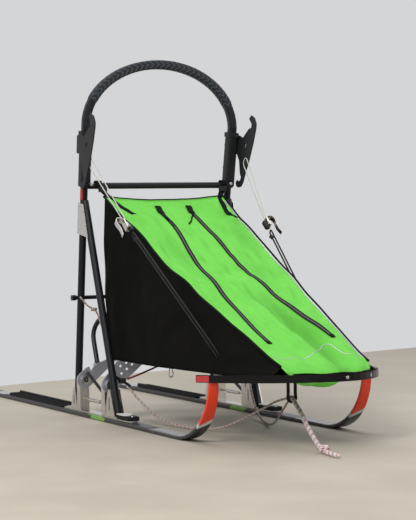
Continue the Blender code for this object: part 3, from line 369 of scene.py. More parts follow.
# %% Sockets that understand arithmetic
class Socket:
    """An output in a finish's node tree. Arithmetic on it adds Math nodes."""

    def __init__(self, finish, output):
        self.finish, self.output = finish, output

    def math(self, operation, *others):
        return self.finish.node("ShaderNodeMath", {"operation": operation},
                                dict(enumerate((self, *others))))

    def __add__(self, other):
        return self.math("ADD", other)

    def __sub__(self, other):
        return self.math("SUBTRACT", other)

    def __rsub__(self, other):
        return self.finish.node("ShaderNodeMath", {"operation": "SUBTRACT"}, {0: other, 1: self})

    def __mul__(self, other):
        return self.math("MULTIPLY", other)

    def __truediv__(self, other):
        return self.math("DIVIDE", other)

    def __gt__(self, other):
        return self.math("GREATER_THAN", other)

    def __lt__(self, other):
        return self.math("LESS_THAN", other)

    def __mod__(self, other):
        return self.math("FLOORED_MODULO", other)

    def __abs__(self):
        return self.math("ABSOLUTE")

    def sine(self):
        return self.math("SINE")

    def step(self, low, high):
        """0 below low, 1 above high, and smooth between."""
        return self.finish.node("ShaderNodeMapRange", {"interpolation_type": "SMOOTHSTEP"},
                                {0: self, 1: low, 2: high, 3: 0.0, 4: 1.0})

    __radd__ = __add__
    __rmul__ = __mul__


# %% A finish and its node tree
class Finish:
    """One named material, with the few calls that the recipes below need."""

    def __init__(self, name, colour, roughness, metallic=0.0, **fixed):
        self.material = bpy.data.materials.new(name)
        self.material.use_nodes = True
        self.tree = self.material.node_tree
        self.shader = self.tree.nodes["Principled BSDF"]
        self.material.diffuse_color = (*colour, 1)
        self.feed("Base Color", (*colour, 1))
        self.feed("Roughness", roughness)
        self.feed("Metallic", metallic)
        for key, value in fixed.items():
            self.feed(key.replace("_", " ").title().replace("Ior", "IOR"), value)

    def node(self, kind, settings=None, inputs=None, out=0):
        """Any node: its settings first, then the values or links of its sockets."""
        made = self.tree.nodes.new(kind)
        for key, value in (settings or {}).items():
            setattr(made, key, value)
        for key, value in (inputs or {}).items():
            self.join(made.inputs[key], value)
        return Socket(self, made.outputs[out])

    def join(self, socket, value):
        """Link a socket to an output, or give it a fixed value."""
        if isinstance(value, Socket):
            self.tree.links.new(value.output, socket)
        else:
            socket.default_value = value

    def feed(self, name, value):
        self.join(self.shader.inputs[name], value)

    def place(self):
        """Object coordinates as three numbers."""
        spot = self.node("ShaderNodeTexCoord", out="Object")
        return [self.node("ShaderNodeSeparateXYZ", None, {0: spot}, out=axis) for axis in "XYZ"]

    def strip(self):
        """The piece's own UV map: metres across it and metres along it."""
        spot = self.node("ShaderNodeUVMap", {"uv_map": "UVMap"})
        return [self.node("ShaderNodeSeparateXYZ", None, {0: spot}, out=axis) for axis in "XY"]

    def stretched(self, x, y, z):
        """Object coordinates, counted in grains of the given size along each axis."""
        spot = self.node("ShaderNodeTexCoord", out="Object")
        return self.node("ShaderNodeMapping", {"vector_type": "POINT"}, {0: spot, 3: (x, y, z)})

    def noise(self, scale, detail=3.0, spot=None):
        """Noise over Object coordinates, with so many features in a metre."""
        spot = spot or self.node("ShaderNodeTexCoord", out="Object")
        return self.node("ShaderNodeTexNoise", None,
                         {"Vector": spot, "Scale": scale, "Detail": detail, "Roughness": 0.55})

    def mix(self, factor, first, second):
        """A colour between two others, each a tuple or another mix."""
        made = self.node("ShaderNodeMix", {"data_type": "RGBA"}, {0: factor}, out=2)
        for index, colour in ((6, first), (7, second)):
            if not isinstance(colour, Socket):
                colour = (*colour, 1)
            self.join(made.output.node.inputs[index], colour)
        return made

    def colour(self, factor, first, second):
        """Base colour between two others."""
        self.feed("Base Color", self.mix(factor, first, second))

    def bump(self, height, distance=0.0005, strength=1.0):
        """Shallow relief for the light only, from a height of 0 to 1."""
        normal = self.node("ShaderNodeBump", None,
                           {"Height": height, "Distance": distance, "Strength": strength})
        self.feed("Normal", normal)


# %% [markdown]
# ### Metal
# The bridges are anodised sheet: a violet-grey film, a little brighter where it has rubbed. The
# brackets are bare aluminium, turned and milled, so fine lines run one way through it. Both are
# one noise stretched along the grain. Their edges could be worn by a pointiness node, but that
# can't be baked, so the wear is a large soft noise instead.

# %% Bare, anodised and steel metal
def metal(name, colour, roughness, grain=(900, 900, 60), worn=0.25, second=None):
    """Metal with a fine grain along one axis and large soft patches of wear."""
    made = Finish(name, colour, roughness, 1.0)
    lines = made.noise(1.0, 4.0, made.stretched(*grain))
    cloud = made.noise(38.0, 4.0)
    rub = cloud.step(0.45, 0.72) * worn
    bright = second or tuple(min(1, c * 1.35) for c in colour)
    dull = tuple(c * 0.72 for c in colour)
    made.colour(rub, made.mix(lines * 0.5, colour, dull), bright)
    made.feed("Roughness", roughness + (lines - 0.5) * 0.22 + (cloud - 0.5) * 0.18)
    made.bump(lines, 0.00012, 0.5)
    return made


aluminium = metal("bare_aluminium", (0.66, 0.63, 0.59), 0.30)
anodised = metal("anodised_sheet", (0.56, 0.57, 0.65), 0.48, (60, 900, 900), 0.35,
                 (0.74, 0.74, 0.80))
steel = metal("bright_steel", (0.62, 0.62, 0.63), 0.22, (700, 700, 700), 0.3)
PLATE_WHITE = (0.78, 0.77, 0.74)
white_plate = Finish("painted_plate", PLATE_WHITE, 0.42)
chips = white_plate.noise(160.0, 3.0)
white_plate.colour(chips.step(0.60, 0.70) * 0.6, PLATE_WHITE, (0.45, 0.44, 0.42))
white_plate.bump(chips, 0.0002, 0.3)
print("metals ready")

# %% [markdown]
# ### Black parts
# Six black parts sit side by side on this sled, and only their surface tells them apart: the
# tubes are satin paint with a cool sheen, the plates a fine crackle of powder coat, the bow a
# hard scuffed plastic, the pads moulded rubber, the grip a wound tape and the bag a weave.

# %% Black finishes
def satin(name, colour, roughness, scratch, grain, shine, coat=0.0):
    """Paint, plastic or rubber with a fine grain, faint clouds and a few paler marks."""
    made = Finish(name, colour, roughness, specular_ior_level=shine, coat_weight=coat,
                  coat_roughness=0.15)
    fine = made.noise(1.0, 5.0, made.stretched(*grain))
    cloud = made.noise(22.0, 3.0)
    mark = fine.step(0.62, 0.74) * scratch
    lighter = tuple(min(1, c * 2.5 + 0.01) for c in colour)
    made.colour(mark, made.mix(cloud, colour, tuple(c * 1.6 for c in colour)), lighter)
    made.feed("Roughness", roughness + (cloud - 0.5) * 0.2 + mark * 0.2)
    made.bump(fine, 0.0001, 0.35)
    return made


tube_black = satin("satin_tube", (0.006, 0.007, 0.009), 0.36, 0.2, (500, 500, 40), 0.28)
plate_black = satin("powder_coat", (0.012, 0.012, 0.014), 0.50, 0.2, (700, 700, 700), 0.25)
bow_black = satin("scuffed_plastic", (0.002, 0.002, 0.003), 0.24, 0.12, (60, 60, 900), 0.20, 0.05)
rubber = satin("moulded_rubber", (0.012, 0.012, 0.012), 0.80, 0.2, (400, 400, 400), 0.2)
print("black finishes ready")

# %% [markdown]
# ### Cloth
# The bag is coated nylon. Two sine waves at right angles on the UV map make the plain weave at
# its real pitch, and a slow noise fades the dye a little. The top is a fluorescent green, and
# its folds carry painted shade: a deeper green mixed into its colour where each fold lies.

# %% Woven cloth
def woven(name, colour, deep, pitch=0.0011, roughness=0.62, shine=0.25, height=0.00022,
          with_painted_fold_shade=False):
    """Cloth in plain weave at a pitch in metres, with a faded dye, and painted shade in its folds
    if asked.
    """
    made = Finish(name, colour, roughness, specular_ior_level=shine)
    across, along = made.strip()
    warp = (across * (math.tau / pitch)).sine()
    weft = (along * (math.tau / pitch)).sine()
    weave = warp * weft
    cloud = made.noise(9.0, 4.0)
    fine = made.noise(170.0, 2.0)
    shade = (cloud.step(0.35, 0.75) * 0.35) + (weave * 0.12 + 0.1) + (fine - 0.5) * 0.2
    dye_and_shade = made.mix(shade, colour, deep)
    if with_painted_fold_shade:
        # Painted shade: the colour is mixed toward a darker green where the fold_shade attribute
        # marks a fold
        depth = made.node("ShaderNodeAttribute", {"attribute_name": "fold_shade"}, out="Fac")
        dye_and_shade = made.mix(depth, dye_and_shade, tuple(c * 0.62 for c in deep))
    made.feed("Base Color", dye_and_shade)
    made.feed("Roughness", roughness + (fine - 0.5) * 0.25)
    made.bump(weave + fine * 1.5 + cloud * 6.0, height)
    return made


GREEN, GREEN_DEEP = (0.225, 0.83, 0.110), (0.125, 0.60, 0.045)
cloth_green = woven("fluorescent_nylon", GREEN, GREEN_DEEP, with_painted_fold_shade=True)
cloth_black = woven("black_nylon", (0.0042, 0.0042, 0.0038), (0.010, 0.010, 0.009), 0.0014, 0.78,
                    0.06)
webbing = woven("black_webbing", (0.0060, 0.0060, 0.0060), (0.016, 0.016, 0.016), 0.0022, 0.75,
                0.10, 0.0004)
print("cloth ready")

# %% [markdown]
# ### Tape, coil and braid
# Reflective tape is a film of tiny glass beads, so it is pale with a fine sparkle. A zip's coil
# and a rope's braid repeat all along the piece and are far too fine to model, so sine waves on
# the piece's own UV map draw them: one for the teeth, and two that cross for the strands.

# %% Reflective tape and the zip's coil
reflective = Finish("reflective_tape", (0.46, 0.47, 0.47), 0.42, 0.35)
beads = reflective.noise(900.0, 2.0)
reflective.feed("Roughness", 0.34 + beads * 0.2)
reflective.bump(beads, 0.00015, 0.5)

ZIP_BLACK, TEETH_PITCH, TEETH_HALF = (0.006, 0.006, 0.006), 0.0022, 0.0016
zip_black = Finish("zip_tape", ZIP_BLACK, 0.7, specular_ior_level=0.15)
zip_across, zip_along = zip_black.strip()
middle = 1 - abs(zip_across / TEETH_HALF).step(0.8, 1.0)
teeth = (zip_along * (math.tau / TEETH_PITCH)).sine() * 0.5 + 0.5
zip_black.colour(middle * (teeth * 0.5 + 0.5), ZIP_BLACK, (0.22, 0.21, 0.22))
zip_black.feed("Roughness", 0.70 - middle * 0.3)
zip_black.bump(middle * teeth, 0.0006)

# %% Ropes
def braided(name, ground, fleck, pitch, share, around, sheen=0.3):
    """A braid: two families of strands cross, and some of one family carry a coloured yarn."""
    made = Finish(name, ground, 0.75, sheen_weight=sheen)
    across, along = made.strip()
    turn, length = across / around, along / pitch
    one_way = ((length * 4 + turn * 4) * math.tau).sine()
    other_way = ((length * 4 - turn * 4) * math.tau).sine()
    yarn = ((length + turn) % 1.0 < share) * (other_way > -0.2)
    rise = (length - turn + 100) % 1.0  # Each strand rises a little before it dives under
    dirt = made.noise(60.0, 3.0)
    soiled = made.mix(dirt.step(0.5, 0.8) * 0.5, ground, tuple(c * 0.6 for c in ground))
    made.colour(yarn, soiled, fleck)
    made.bump(one_way * other_way + rise * 0.01, 0.0006)
    return made


bridle_finish = braided("braided_bridle", (0.60, 0.55, 0.50), (0.42, 0.055, 0.07), 0.016, 0.42,
                        0.0188)
tow_finish = braided("braided_tow", (0.80, 0.75, 0.74), (0.52, 0.04, 0.09), 0.024, 0.40, 0.0377)
white_cord = braided("white_stay", (0.94, 0.93, 0.86), (0.86, 0.85, 0.77), 0.009, 0.4, 0.010)
black_cord = braided("black_stay", (0.010, 0.010, 0.010), (0.03, 0.03, 0.03), 0.012, 0.5, 0.015,
                     sheen=0.0)
dyed_ropes = [(made, bridle_finish) for made, line, word in bridles]
dyed_ropes += [(bridle_knot, bridle_finish), (tow, tow_finish), (tow_knot, tow_finish),
               (elastic, black_cord)]
for made, finish in dyed_ropes:
    made.data.materials.append(finish.material)
print("ropes ready")

# %% [markdown]
# ### The frame's own parts
# A hard part comes from the frame in a plain colour that is named after what it is made of. Its
# shape is right as it is, so it isn't modelled again: only its finish changes, by that name.

# %% Give the frame's own parts their finishes
FINISHES = {
    "aluminium": aluminium, "anodised_grey": anodised, "tube_black": tube_black,
    "plate_black": plate_black, "bow_black": bow_black, "rubber_black": rubber,
    "pad_black": rubber, "cloth_green": cloth_green, "cloth_black": cloth_black,
    "cord_white": white_cord, "cord_black": black_cord, "cord_red": bridle_finish,
    "runner_black": bow_black,
}
for name, node in nodes.items():
    for slot in node.material_slots:
        base = slot.material.name.split(".")[0] if slot.material else ""
        if base in FINISHES:
            slot.material = FINISHES[base].material
for word, side in SIDES:
    nodes["foot_plate_" + word].material_slots[0].material = white_plate.material
print("finished nodes:", len(nodes))

# %% [markdown]
# ## The bag's outline
# A sewn bag has no flat face: its top hangs in a shallow curve between two side seams, the
# seams themselves curve, and the nose folds down behind the bow and under. So the whole bag is
# lofted: a table gives the seam's place along its length, smooth curves run through it, and
# every panel is laid between the same two seams, so nothing gapes.

# %% The seams
BAG_REAR, BAG_NOSE = 0.946, 1.894
SEAM = (
    (0.000, 0.2000, 0.6600), (0.241, 0.1840, 0.5524), (0.331, 0.1836, 0.5054),
    (0.422, 0.1810, 0.4598), (0.521, 0.1710, 0.4226), (0.591, 0.1665, 0.3862),
    (0.681, 0.1586, 0.3495), (0.761, 0.1520, 0.3145), (0.835, 0.1438, 0.2843),
    (0.947, 0.1348, 0.2356), (1.000, 0.1310, 0.2170),
)


def along_table(table, share):
    """Smooth values of a table at a share of its first column."""
    rows = [Vector(row[1:] + (0,) * (4 - len(row))) for row in table]
    keys = [row[0] for row in table]
    index = max(i for i in range(len(keys) - 1) if share >= keys[i] or i == 0)
    a, b = rows[index], rows[index + 1]
    before = rows[max(index - 1, 0)]
    after = rows[min(index + 2, len(rows) - 1)]
    gap = keys[index + 1] - keys[index]
    low = (b - before) / (keys[index + 1] - keys[max(index - 1, 0)]) * gap
    high = (after - a) / (keys[min(index + 2, len(keys) - 1)] - keys[index]) * gap
    t = (share - keys[index]) / gap
    return (a * (2 * t**3 - 3 * t**2 + 1) + low * (t**3 - 2 * t**2 + t)
            + b * (3 * t**2 - 2 * t**3) + high * (t**3 - t**2))


def seam(share):
    """Place of the left seam at a share of its length."""
    half, height, _ = along_table(SEAM, share)
    return Vector((at(BAG_REAR + (BAG_NOSE - BAG_REAR) * share), half, height))


print("seam half way:", [round(c, 3) for c in seam(0.5)])

# %% [markdown]
# ## The green top
# Folds aren't noise: each has a cause. The straps pull at both rear corners, the two zips
# stiffen the cloth in long ribs, and a slack hollow runs down to the nose on the left, where
# cloth is to spare. The rule below adds those one by one, as soft waves: the hollow is 26 mm
# deep and the others are a few millimetres.

# %% Where the zips lie
# Station and distance from the middle of each zip: the right one bends early, the left one late
ZIPS = {
    -1: ((0.985, 0.048), (1.094, 0.047), (1.200, 0.060), (1.301, 0.074), (1.410, 0.082),
         (1.513, 0.088), (1.673, 0.095), (1.768, 0.0965)),
    1: ((0.984, 0.056), (1.048, 0.055), (1.232, 0.0565), (1.350, 0.058), (1.428, 0.061),
        (1.500, 0.069), (1.620, 0.083), (1.760, 0.0985)),
}


def zip_share(share, side):
    """How far across the top a zip lies, from 0 in the middle to 1 at the seam."""
    table = ZIPS[side]
    station = BAG_REAR + (BAG_NOSE - BAG_REAR) * share
    station = min(max(station, table[0][0]), table[-1][0])
    for low, high in zip(table, table[1:]):
        if station <= high[0]:
            part = (station - low[0]) / (high[0] - low[0])
            return (low[1] + (high[1] - low[1]) * part) / seam(min(1, share)).y
    return table[-1][1] / seam(min(1, share)).y


# %% Folds of the top
def bell(x, centre, width):
    """1 at the centre, falling to nothing on both sides."""
    return math.exp(-((x - centre) / width) ** 2)


def ramp(x, start, length):
    """0 up to the start, then rising evenly to 1."""
    return min(1, max(0, (x - start) / length))


def stiffened(a, share, width):
    """How far the two zips stiffen the cloth at a point, 0 to 1."""
    return min(1, sum(bell(a - side * zip_share(share, side), 0, width) for side in (-1, 1)))


# Hollows beside the seams at the tall end and the ridge between them, and patches of painted shade
# on the cloth's colour: amount, then centre and width along the top, then centre and width across
# it
DENTS = ((-0.008, 0.24, 0.14, 0.70, 0.17), (-0.007, 0.31, 0.13, -0.68, 0.14),
         (0.004, 0.42, 0.16, -0.12, 0.20))
PAINTED_SHADES = ((0.40, 0.24, 0.12, 0.80, 0.15), (0.30, 0.33, 0.13, -0.55, 0.15),
          (0.30, 0.44, 0.08, 0.52, 0.13))


def dented(table, a, share):
    """Sum of a table's dents at a point."""
    return sum(amount * bell(share, where, length) * bell(a, off, width)
               for amount, where, length, off, width in table)


def folds(a, share):
    """Height that folds add to the top, at a from -1 (right seam) to 1 (left)."""
    edge = 1 - abs(a) ** 6
    # The slack valley that runs down to the nose, left of the middle, and the swell beside it
    start = ramp(share, 0.52, 0.30)
    start = start * start * (3 - 2 * start)
    fold = 0.20 + 0.55 * (share - 0.62)
    deep = 0.026 - 0.016 * ramp(share, 0.80, 0.10)
    lift = -deep * start * bell(a, fold, 0.18) + 0.010 * start * bell(a, fold + 0.36, 0.16)
    lift += 0.007 * start * bell(a, fold - 0.42, 0.24)
    lift += dented(DENTS, a, share)
    # Ribs along the zips, and a fan of small folds at each rear corner, where a strap pulls
    for side in (-1, 1):
        rib = bell(a - side * zip_share(share, side), 0, 0.06)
        lift += 0.0007 * rib * math.sin(share * 47 + side * 2) * (share < 0.9)
        fan = bell(share, 0.13, 0.08) * bell(a, side * 0.8, 0.28)
        lift += 0.005 * fan * math.sin((a - side) * 17 + share * 34)
    lift += 0.0065 * bell(share, 0.0, 0.04)
    # Small waves between the zips, where they squeeze the cloth
    cramped = bell(share, 0.42, 0.13) * bell(a, 0.12, 0.22)
    lift += 0.0024 * cramped * math.sin(share * 95 + a * 16)
    slow = noise.noise(Vector((share * 5.2, a * 2.3, 4.7)))
    quick = noise.noise(Vector((share * 15.0, a * 5.0, 1.3)))
    # Short slanting creases in the panels, none where the zips stiffen the cloth
    stiff = stiffened(a, share, 0.14)
    crease = noise.noise(Vector((share * 11 + a * 4.5, a * 6.5 - share * 5, 7.1)))
    flat = (1 - bell(share, 0.0, 0.06)) * (1 - bell(share, 0.95, 0.09))
    lift += 0.0062 * (1 - stiff) * edge * crease * flat
    calm = 1 - 0.8 * bell(share, 0.0, 0.05)
    slow *= 1 - 0.55 * stiff
    return lift + calm * edge * (0.0085 * slow + 0.0034 * quick * (1 - 0.85 * stiff))


# %% Painted shade in the folds
def painted_fold_shade(a, share):
    """Painted shade of the cloth's colour at a point, 0 to 1, following how deep in a fold it lies.
    """
    # Painted shade: a band along the slack valley that runs down to the nose, then the table's
    # patches
    start = ramp(share, 0.50, 0.16)
    along = 0.21 + 0.95 * (min(share, 0.77) - 0.635)
    found = 0.62 * start * start * bell(a, along, 0.19) * (1 - 0.35 * bell(share, 1.0, 0.06))
    found += dented(PAINTED_SHADES, a, share)
    # Painted shade along noise-placed slanting creases, less where the zips stiffen the cloth
    stiff = stiffened(a, share, 0.10)
    crease = noise.noise(Vector((share * 13 + a * 5, a * 8 - share * 6, 3.1)))
    found += 0.55 * max(0, crease - 0.12) * (1 - stiff) * (0.35 + bell(share, 0.40, 0.22))
    return min(1, max(0, found))


# %% Surface of the top
# Share, half width, height and how far ahead of the seam's end, from there round under the nose
NOSE = (
    (1.00, 0.131, 0.217, 0.0), (1.18, 0.127, 0.202, 0.030), (1.36, 0.112, 0.186, 0.040),
    (1.58, 0.094, 0.168, 0.035), (1.85, 0.081, 0.1605, -0.004), (2.20, 0.073, 0.1615, -0.05),
    (2.60, 0.068, 0.174, -0.092),
)


def top_point(a, share):
    """A point of the green top. Shares over 1 are the nose, folded down and under."""
    if share <= 1:
        edge = seam(share)
        sag = 0.012 - 0.004 * share
        return Vector((edge.x, edge.y * a, edge.z - sag * (1 - a * a) + folds(a, share)))
    half, height, past = along_table(NOSE, share)
    fade = max(0, 1 - (share - 1) * 2)
    fullness = 0.004 * math.sin(a * 9 + share * 3) * bell(share, 1.7, 0.5)
    round_nose = 0.016 * a * a * bell(share, 1.3, 0.28)
    under = ramp(share, 1.30, 0.35)
    return Vector((at(BAG_NOSE) + past - round_nose, half * a,
                   height - 0.008 * (1 - a * a) * fade + folds(a, 1.0) * fade + fullness
                   + 0.023 * under * (a + 0.22) ** 2))


# %% Lay and finish the top
def sewn(made, words, slot, finish, *parts):
    """Give a laid panel its thickness, finish and body. Returns its area as one layer."""
    area = sum(face.area for face in made.data.polygons)
    applied(made, "SOLIDIFY", thickness=CLOTH_THICK, offset=0)
    fresh()
    made.select_set(True)
    bpy.ops.object.shade_smooth()
    settled(made, finish=finish)
    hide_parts(*parts)
    print(words, round(area, 3), "square metres")
    return area


CLOTH_THICK = 0.0014
TOP_END = 2.6
ACROSS, ALONG = 64, 150
top = laid("bag_top_cloth", ACROSS, ALONG, lambda u, v: top_point(2 * u - 1, v * TOP_END))
# Each point of the top carries painted shade for its folds, which the green finish reads
shade = top.data.attributes.new("fold_shade", "FLOAT", "POINT")
for index in range(len(top.data.vertices)):
    row, column = divmod(index, ACROSS + 1)
    shade.data[index].value = painted_fold_shade(2 * column / ACROSS - 1, row / ALONG * TOP_END)
top_area = sewn(top, "green top", "cloth_green", cloth_green, "bag_top")

# %% [markdown]
# ## The black body
# Sides, floor and the sleeves that the rails run in are one strip of cloth, bent like a U. Its
# cross-section goes down from the seam, round under the rail, across the floor and up again.
# Separate panels could be laid side by side, but one strip can't gape at the rails. It bellies
# outward a little and creases above the rail, where it is pulled down tight.

# %% Body of the bag
KICK = 0.054  # How far the body's rear edge leans forward at its foot
RAIL_BEND, RAIL_HALF, RAIL_NOSE, RAIL_NOSE_HALF = 1.300, 0.200, 1.963, 0.140
SLEEVE = RAIL_RADIUS + 0.0016
FLOOR_Z = 0.1822
WALL_FOOT, SLEEVE_END = 0.30, 0.12  # Shares of the half width where wall and sleeve give over


def rail_half(station):
    """Distance of a rail from the middle plane. The rails draw in toward the nose."""
    share = max(0, (station - RAIL_BEND) / (RAIL_NOSE - RAIL_BEND))
    return RAIL_HALF + (RAIL_NOSE_HALF - RAIL_HALF) * share


def body_point(u, v):
    """u runs round the U from the right seam to the left, v from the rear to the nose."""
    side = -1 if u < 0.5 else 1
    t = abs(u - 0.5) * 2
    head = seam(v)
    foot_station = BAG_REAR + KICK + (BAG_NOSE - BAG_REAR - KICK) * v
    rail = rail_half(foot_station)
    head_z = max(head.z - 0.002, RAIL_HEIGHT + 0.022)
    if t > WALL_FOOT:
        down = (1 - t) / (1 - WALL_FOOT)
        outer = rail + SLEEVE
        x = head.x + (at(foot_station) - head.x) * down ** 3
        y = (head.y - 0.0016) + (outer - head.y + 0.0016) * down
        z = head_z + (RAIL_HEIGHT - head_z) * down
        tall = head_z - RAIL_HEIGHT
        belly = 0.020 * math.sin(math.pi * min(1, down)) * min(1, tall / 0.25)
        belly *= 1 - bell(v, 0.0, 0.07)
        wave = noise.noise(Vector((v * 7.0, down * 2.6 + v * 3.0, side * 2.0 + 5.0)))
        crease = noise.noise(Vector((v * 24.0 + down * 4, down * 3.0, side + 9.0)))
        hem = bell(down, 0.93, 0.10) * math.sin(v * 61 + 2 * math.sin(v * 17))
        soft = math.sin(math.pi * min(1, down * 1.02)) * min(1, tall / 0.10)
        y += belly * 0.35 + soft * (0.010 * wave + 0.0035 * crease) + 0.0012 * hem * soft
        return Vector((x, side * max(y, 0.0), z))
    x = at(foot_station)
    if t > SLEEVE_END:
        angle = -math.pi * (WALL_FOOT - t) / (WALL_FOOT - SLEEVE_END)
        return Vector((x, side * (rail + SLEEVE * math.cos(angle)),
                       RAIL_HEIGHT + SLEEVE * math.sin(angle)))
    share = t / SLEEVE_END
    y = (rail - SLEEVE) * share
    lift = (RAIL_HEIGHT - FLOOR_Z) * share ** 8
    return Vector((x, side * y, FLOOR_Z + lift + 0.0016 * noise.noise(Vector((x * 8, y * 9, 2)))))


body = laid("bag_body_cloth", 200, 96, body_point)
body_area = sewn(body, "black body", "cloth_black", cloth_black,
                 "bag_side_left", "bag_side_right", "bag_floor")

# %% Back of the bag
def back_point(u, down):
    """u runs across the back from right to left, down from the rear edge to the floor."""
    a = 2 * u - 1
    head = seam(0)
    low_half = RAIL_HALF - SLEEVE
    z_top = head.z + 0.002 - 0.012 * (1 - a * a)
    z = z_top + (FLOOR_Z + 0.002 - z_top) * down
    half = (head.y - 0.0035) + (low_half - head.y + 0.0035) * down
    wave = noise.noise(Vector((a * 2.0, down * 5.0, 8.0))) * 0.010
    wave += noise.noise(Vector((a * 6.0, down * 9.0, 3.0))) * 0.003
    soft = (1 - a ** 4) * math.sin(math.pi * down)
    x = head.x + 0.003 + KICK * ((head.z - z) / (head.z - RAIL_HEIGHT)) ** 3
    return Vector((x + soft * wave - 0.010 * soft, half * a, z))


back = laid("bag_back_cloth", 48, 56, back_point)
back_area = sewn(back, "back", "cloth_black", cloth_black, "bag_back")

# %% [markdown]
# ## Piping, zips and straps
# Trim is what makes cloth look sewn. The piping is a thin round cord along both seams and the
# rear edge. The zips, the silver tape and the straps are ribbons laid a hair above the top, by
# asking the same rule for its surface, so they follow every fold.

# %% Trim that follows the top
def top_normal(a, share):
    """Direction square to the top at a point, from four points round it."""
    step = 0.004
    along = top_point(a, share + step) - top_point(a, share - step)
    across = top_point(min(1, a + step), share) - top_point(max(-1, a - step), share)
    return along.cross(across).normalized()


def ribbon(name, spots, width, lift, across=4, thick=0.0010, steps=8):
    """A flat strip over the top through spots (a, share)."""
    line = eased([(a, share, 0) for a, share in spots], steps)
    points = [top_point(p.x, p.y) for p in line]
    ups = [top_normal(p.x, p.y) for p in line]
    if ups[0].z < 0:
        ups = [-up for up in ups]
    total = len(points) - 1

    def place(u, v):
        index = round(v * total)
        along = points[min(index + 1, total)] - points[max(index - 1, 0)]
        side = along.cross(ups[index]).normalized()
        return points[index] + side * (u - 0.5) * width + ups[index] * lift

    made = laid(name, across, total, place)
    return applied(made, "SOLIDIFY", thickness=thick, offset=0)


# %% Zips
ZIP_FROM, ZIP_TO = 0.060, 0.864
zips = []
for word, side in SIDES:
    shares = [ZIP_FROM + (ZIP_TO - ZIP_FROM) * step / 8 for step in range(9)]
    spots = [(side * zip_share(share, side), share) for share in shares]
    made = ribbon("zip_" + word, spots, 0.0145, 0.0017, 8, steps=24)
    settled(made, finish=zip_black)
    zips.append(made)

# Each zip ends at the rear in a folded tab of tape, and a short cord hangs from its slider
PULLS = {-1: ((-0.274, 0.091), (-0.257, 0.126), (-0.234, 0.148), (-0.250, 0.176)),
         1: ((0.289, 0.092), (0.202, 0.117), (0.121, 0.143), (0.040, 0.161))}
for word, side in SIDES:
    rear = zip_share(0.04, side) * side
    tab = ribbon("zip_tab_" + word, [(rear + 0.03, 0.040), (rear + 0.02, 0.055), (rear, 0.070),
                                     (rear - 0.01, 0.088)], 0.018, 0.0032, thick=0.0030)
    front = zip_share(0.866, side) * side
    stop = ribbon("zip_stop_" + word, [(front, 0.858), (front, 0.866), (front, 0.874)], 0.013,
                  0.0026, thick=0.0020)
    ends = united("zip_ends_" + word, [tab, stop])
    settled(ends, finish=webbing)
    spots = eased([(a, share, 0) for a, share in PULLS[side]], 4)
    line = [top_point(p.x, p.y) + Vector((0, 0, 0.0042)) for p in spots]
    pull = rolled("zip_pull_" + word, line, round_section(0.0021), around=8)
    settled(pull, finish=webbing)
    zips += [ends, pull]

# %% Piping, silver tape and nose stitch
piping = []
for word, side in SIDES:
    line = [top_point(side, share / 60) + Vector((0, side * 0.0018, 0.0004))
            for share in range(61)]
    piping.append(rolled("piping_" + word, line, round_section(0.0032), around=8))
rear_line = [top_point(2 * step / 40 - 1, 0) + Vector((-0.0012, 0, 0.0006)) for step in range(41)]
piping.append(rolled("piping_rear", rear_line, round_section(0.0030), around=8))
piping = united("bag_piping", piping)
settled(piping, finish=webbing)

edge_tape = ribbon("edge_tape", [(0.972, 0.03 + 0.95 * step / 24) for step in range(25)], 0.0048,
                   0.0014, 2, 0.0006)
settled(edge_tape, finish=reflective)
NOSE_STITCH = ((-0.940, 0.941), (-0.720, 0.956), (-0.344, 0.951), (-0.126, 0.948), (0.116, 0.924),
               (0.300, 0.896), (0.437, 0.878), (0.550, 0.893), (0.597, 0.925), (0.660, 0.957),
               (0.888, 0.976))
nose_seam = ribbon("nose_seam", NOSE_STITCH, 0.0022, 0.0012, 2, 0.0006)
settled(nose_seam, finish=reflective)
print("trim pieces:", len(zips) + 3)

# %% Straps that hold the bag's rear corners to the cross bar
BAR = Vector((at(0.926), 0, BAR_HEIGHT))
BAR_WRAP, STRAP_HALF, STRAP_WIDTH = 0.0112, 0.212, 0.019
BUCKLE_AT = 62  # The point of the strap's line that the buckle sits on
# Distance from the middle and share of the length where each strap lies on the top
LYING = {-1: ((0.930, 0.004), (0.870, 0.045), (0.786, 0.071), (0.772, 0.103)),
         1: ((0.959, 0.003), (0.905, 0.060), (0.848, 0.120), (0.940, 0.137))}
straps = []
for word, side in SIDES:
    wrap = []
    for step in range(13):
        angle = math.radians(215 - 250 * step / 12)
        wrap.append(BAR + Vector((BAR_WRAP * math.cos(angle), side * STRAP_HALF,
                                  BAR_WRAP * math.sin(angle))))
    lying = [top_point(side * a, share) + Vector((0.001, 0, 0.0022))
             for a, share in LYING[side]]
    line = eased(wrap + lying, 5)
    total = len(line) - 1

    def place(u, v, line=line, total=total):
        index = round(v * total)
        width = STRAP_WIDTH * (1 if v < 0.93 else 1 - (v - 0.93) * 6 * (1 - u))
        return line[index] + Vector((0, (u - 0.5) * width, -0.0035 * abs(u - 0.5) * (v > 0.6)))

    straps.append(laid("strap_" + word, 4, total, place))
    buckle = block("strap_buckle_" + word, (0.007, 0.027, 0.016),
                   line[BUCKLE_AT] + Vector((0.003, 0, 0.002)), plate_black,
                   width=0.002, segments=2)
    settled(buckle)
for made in straps:
    applied(made, "SOLIDIFY", thickness=0.0016, offset=0)
    settled(made, finish=webbing)

# %% [markdown]
# ## The skis
# A ski is a laminate: a black base, a side wall and a top sheet. The frame's solid has the
# right bend but square edges, so the visible ski is laid anew over the same line: a grid for
# its width and length, a Solidify for its thickness, and a bevel for the worn edges. From the
# front one sees the base of the turned-up tip, which is orange above a pale band.

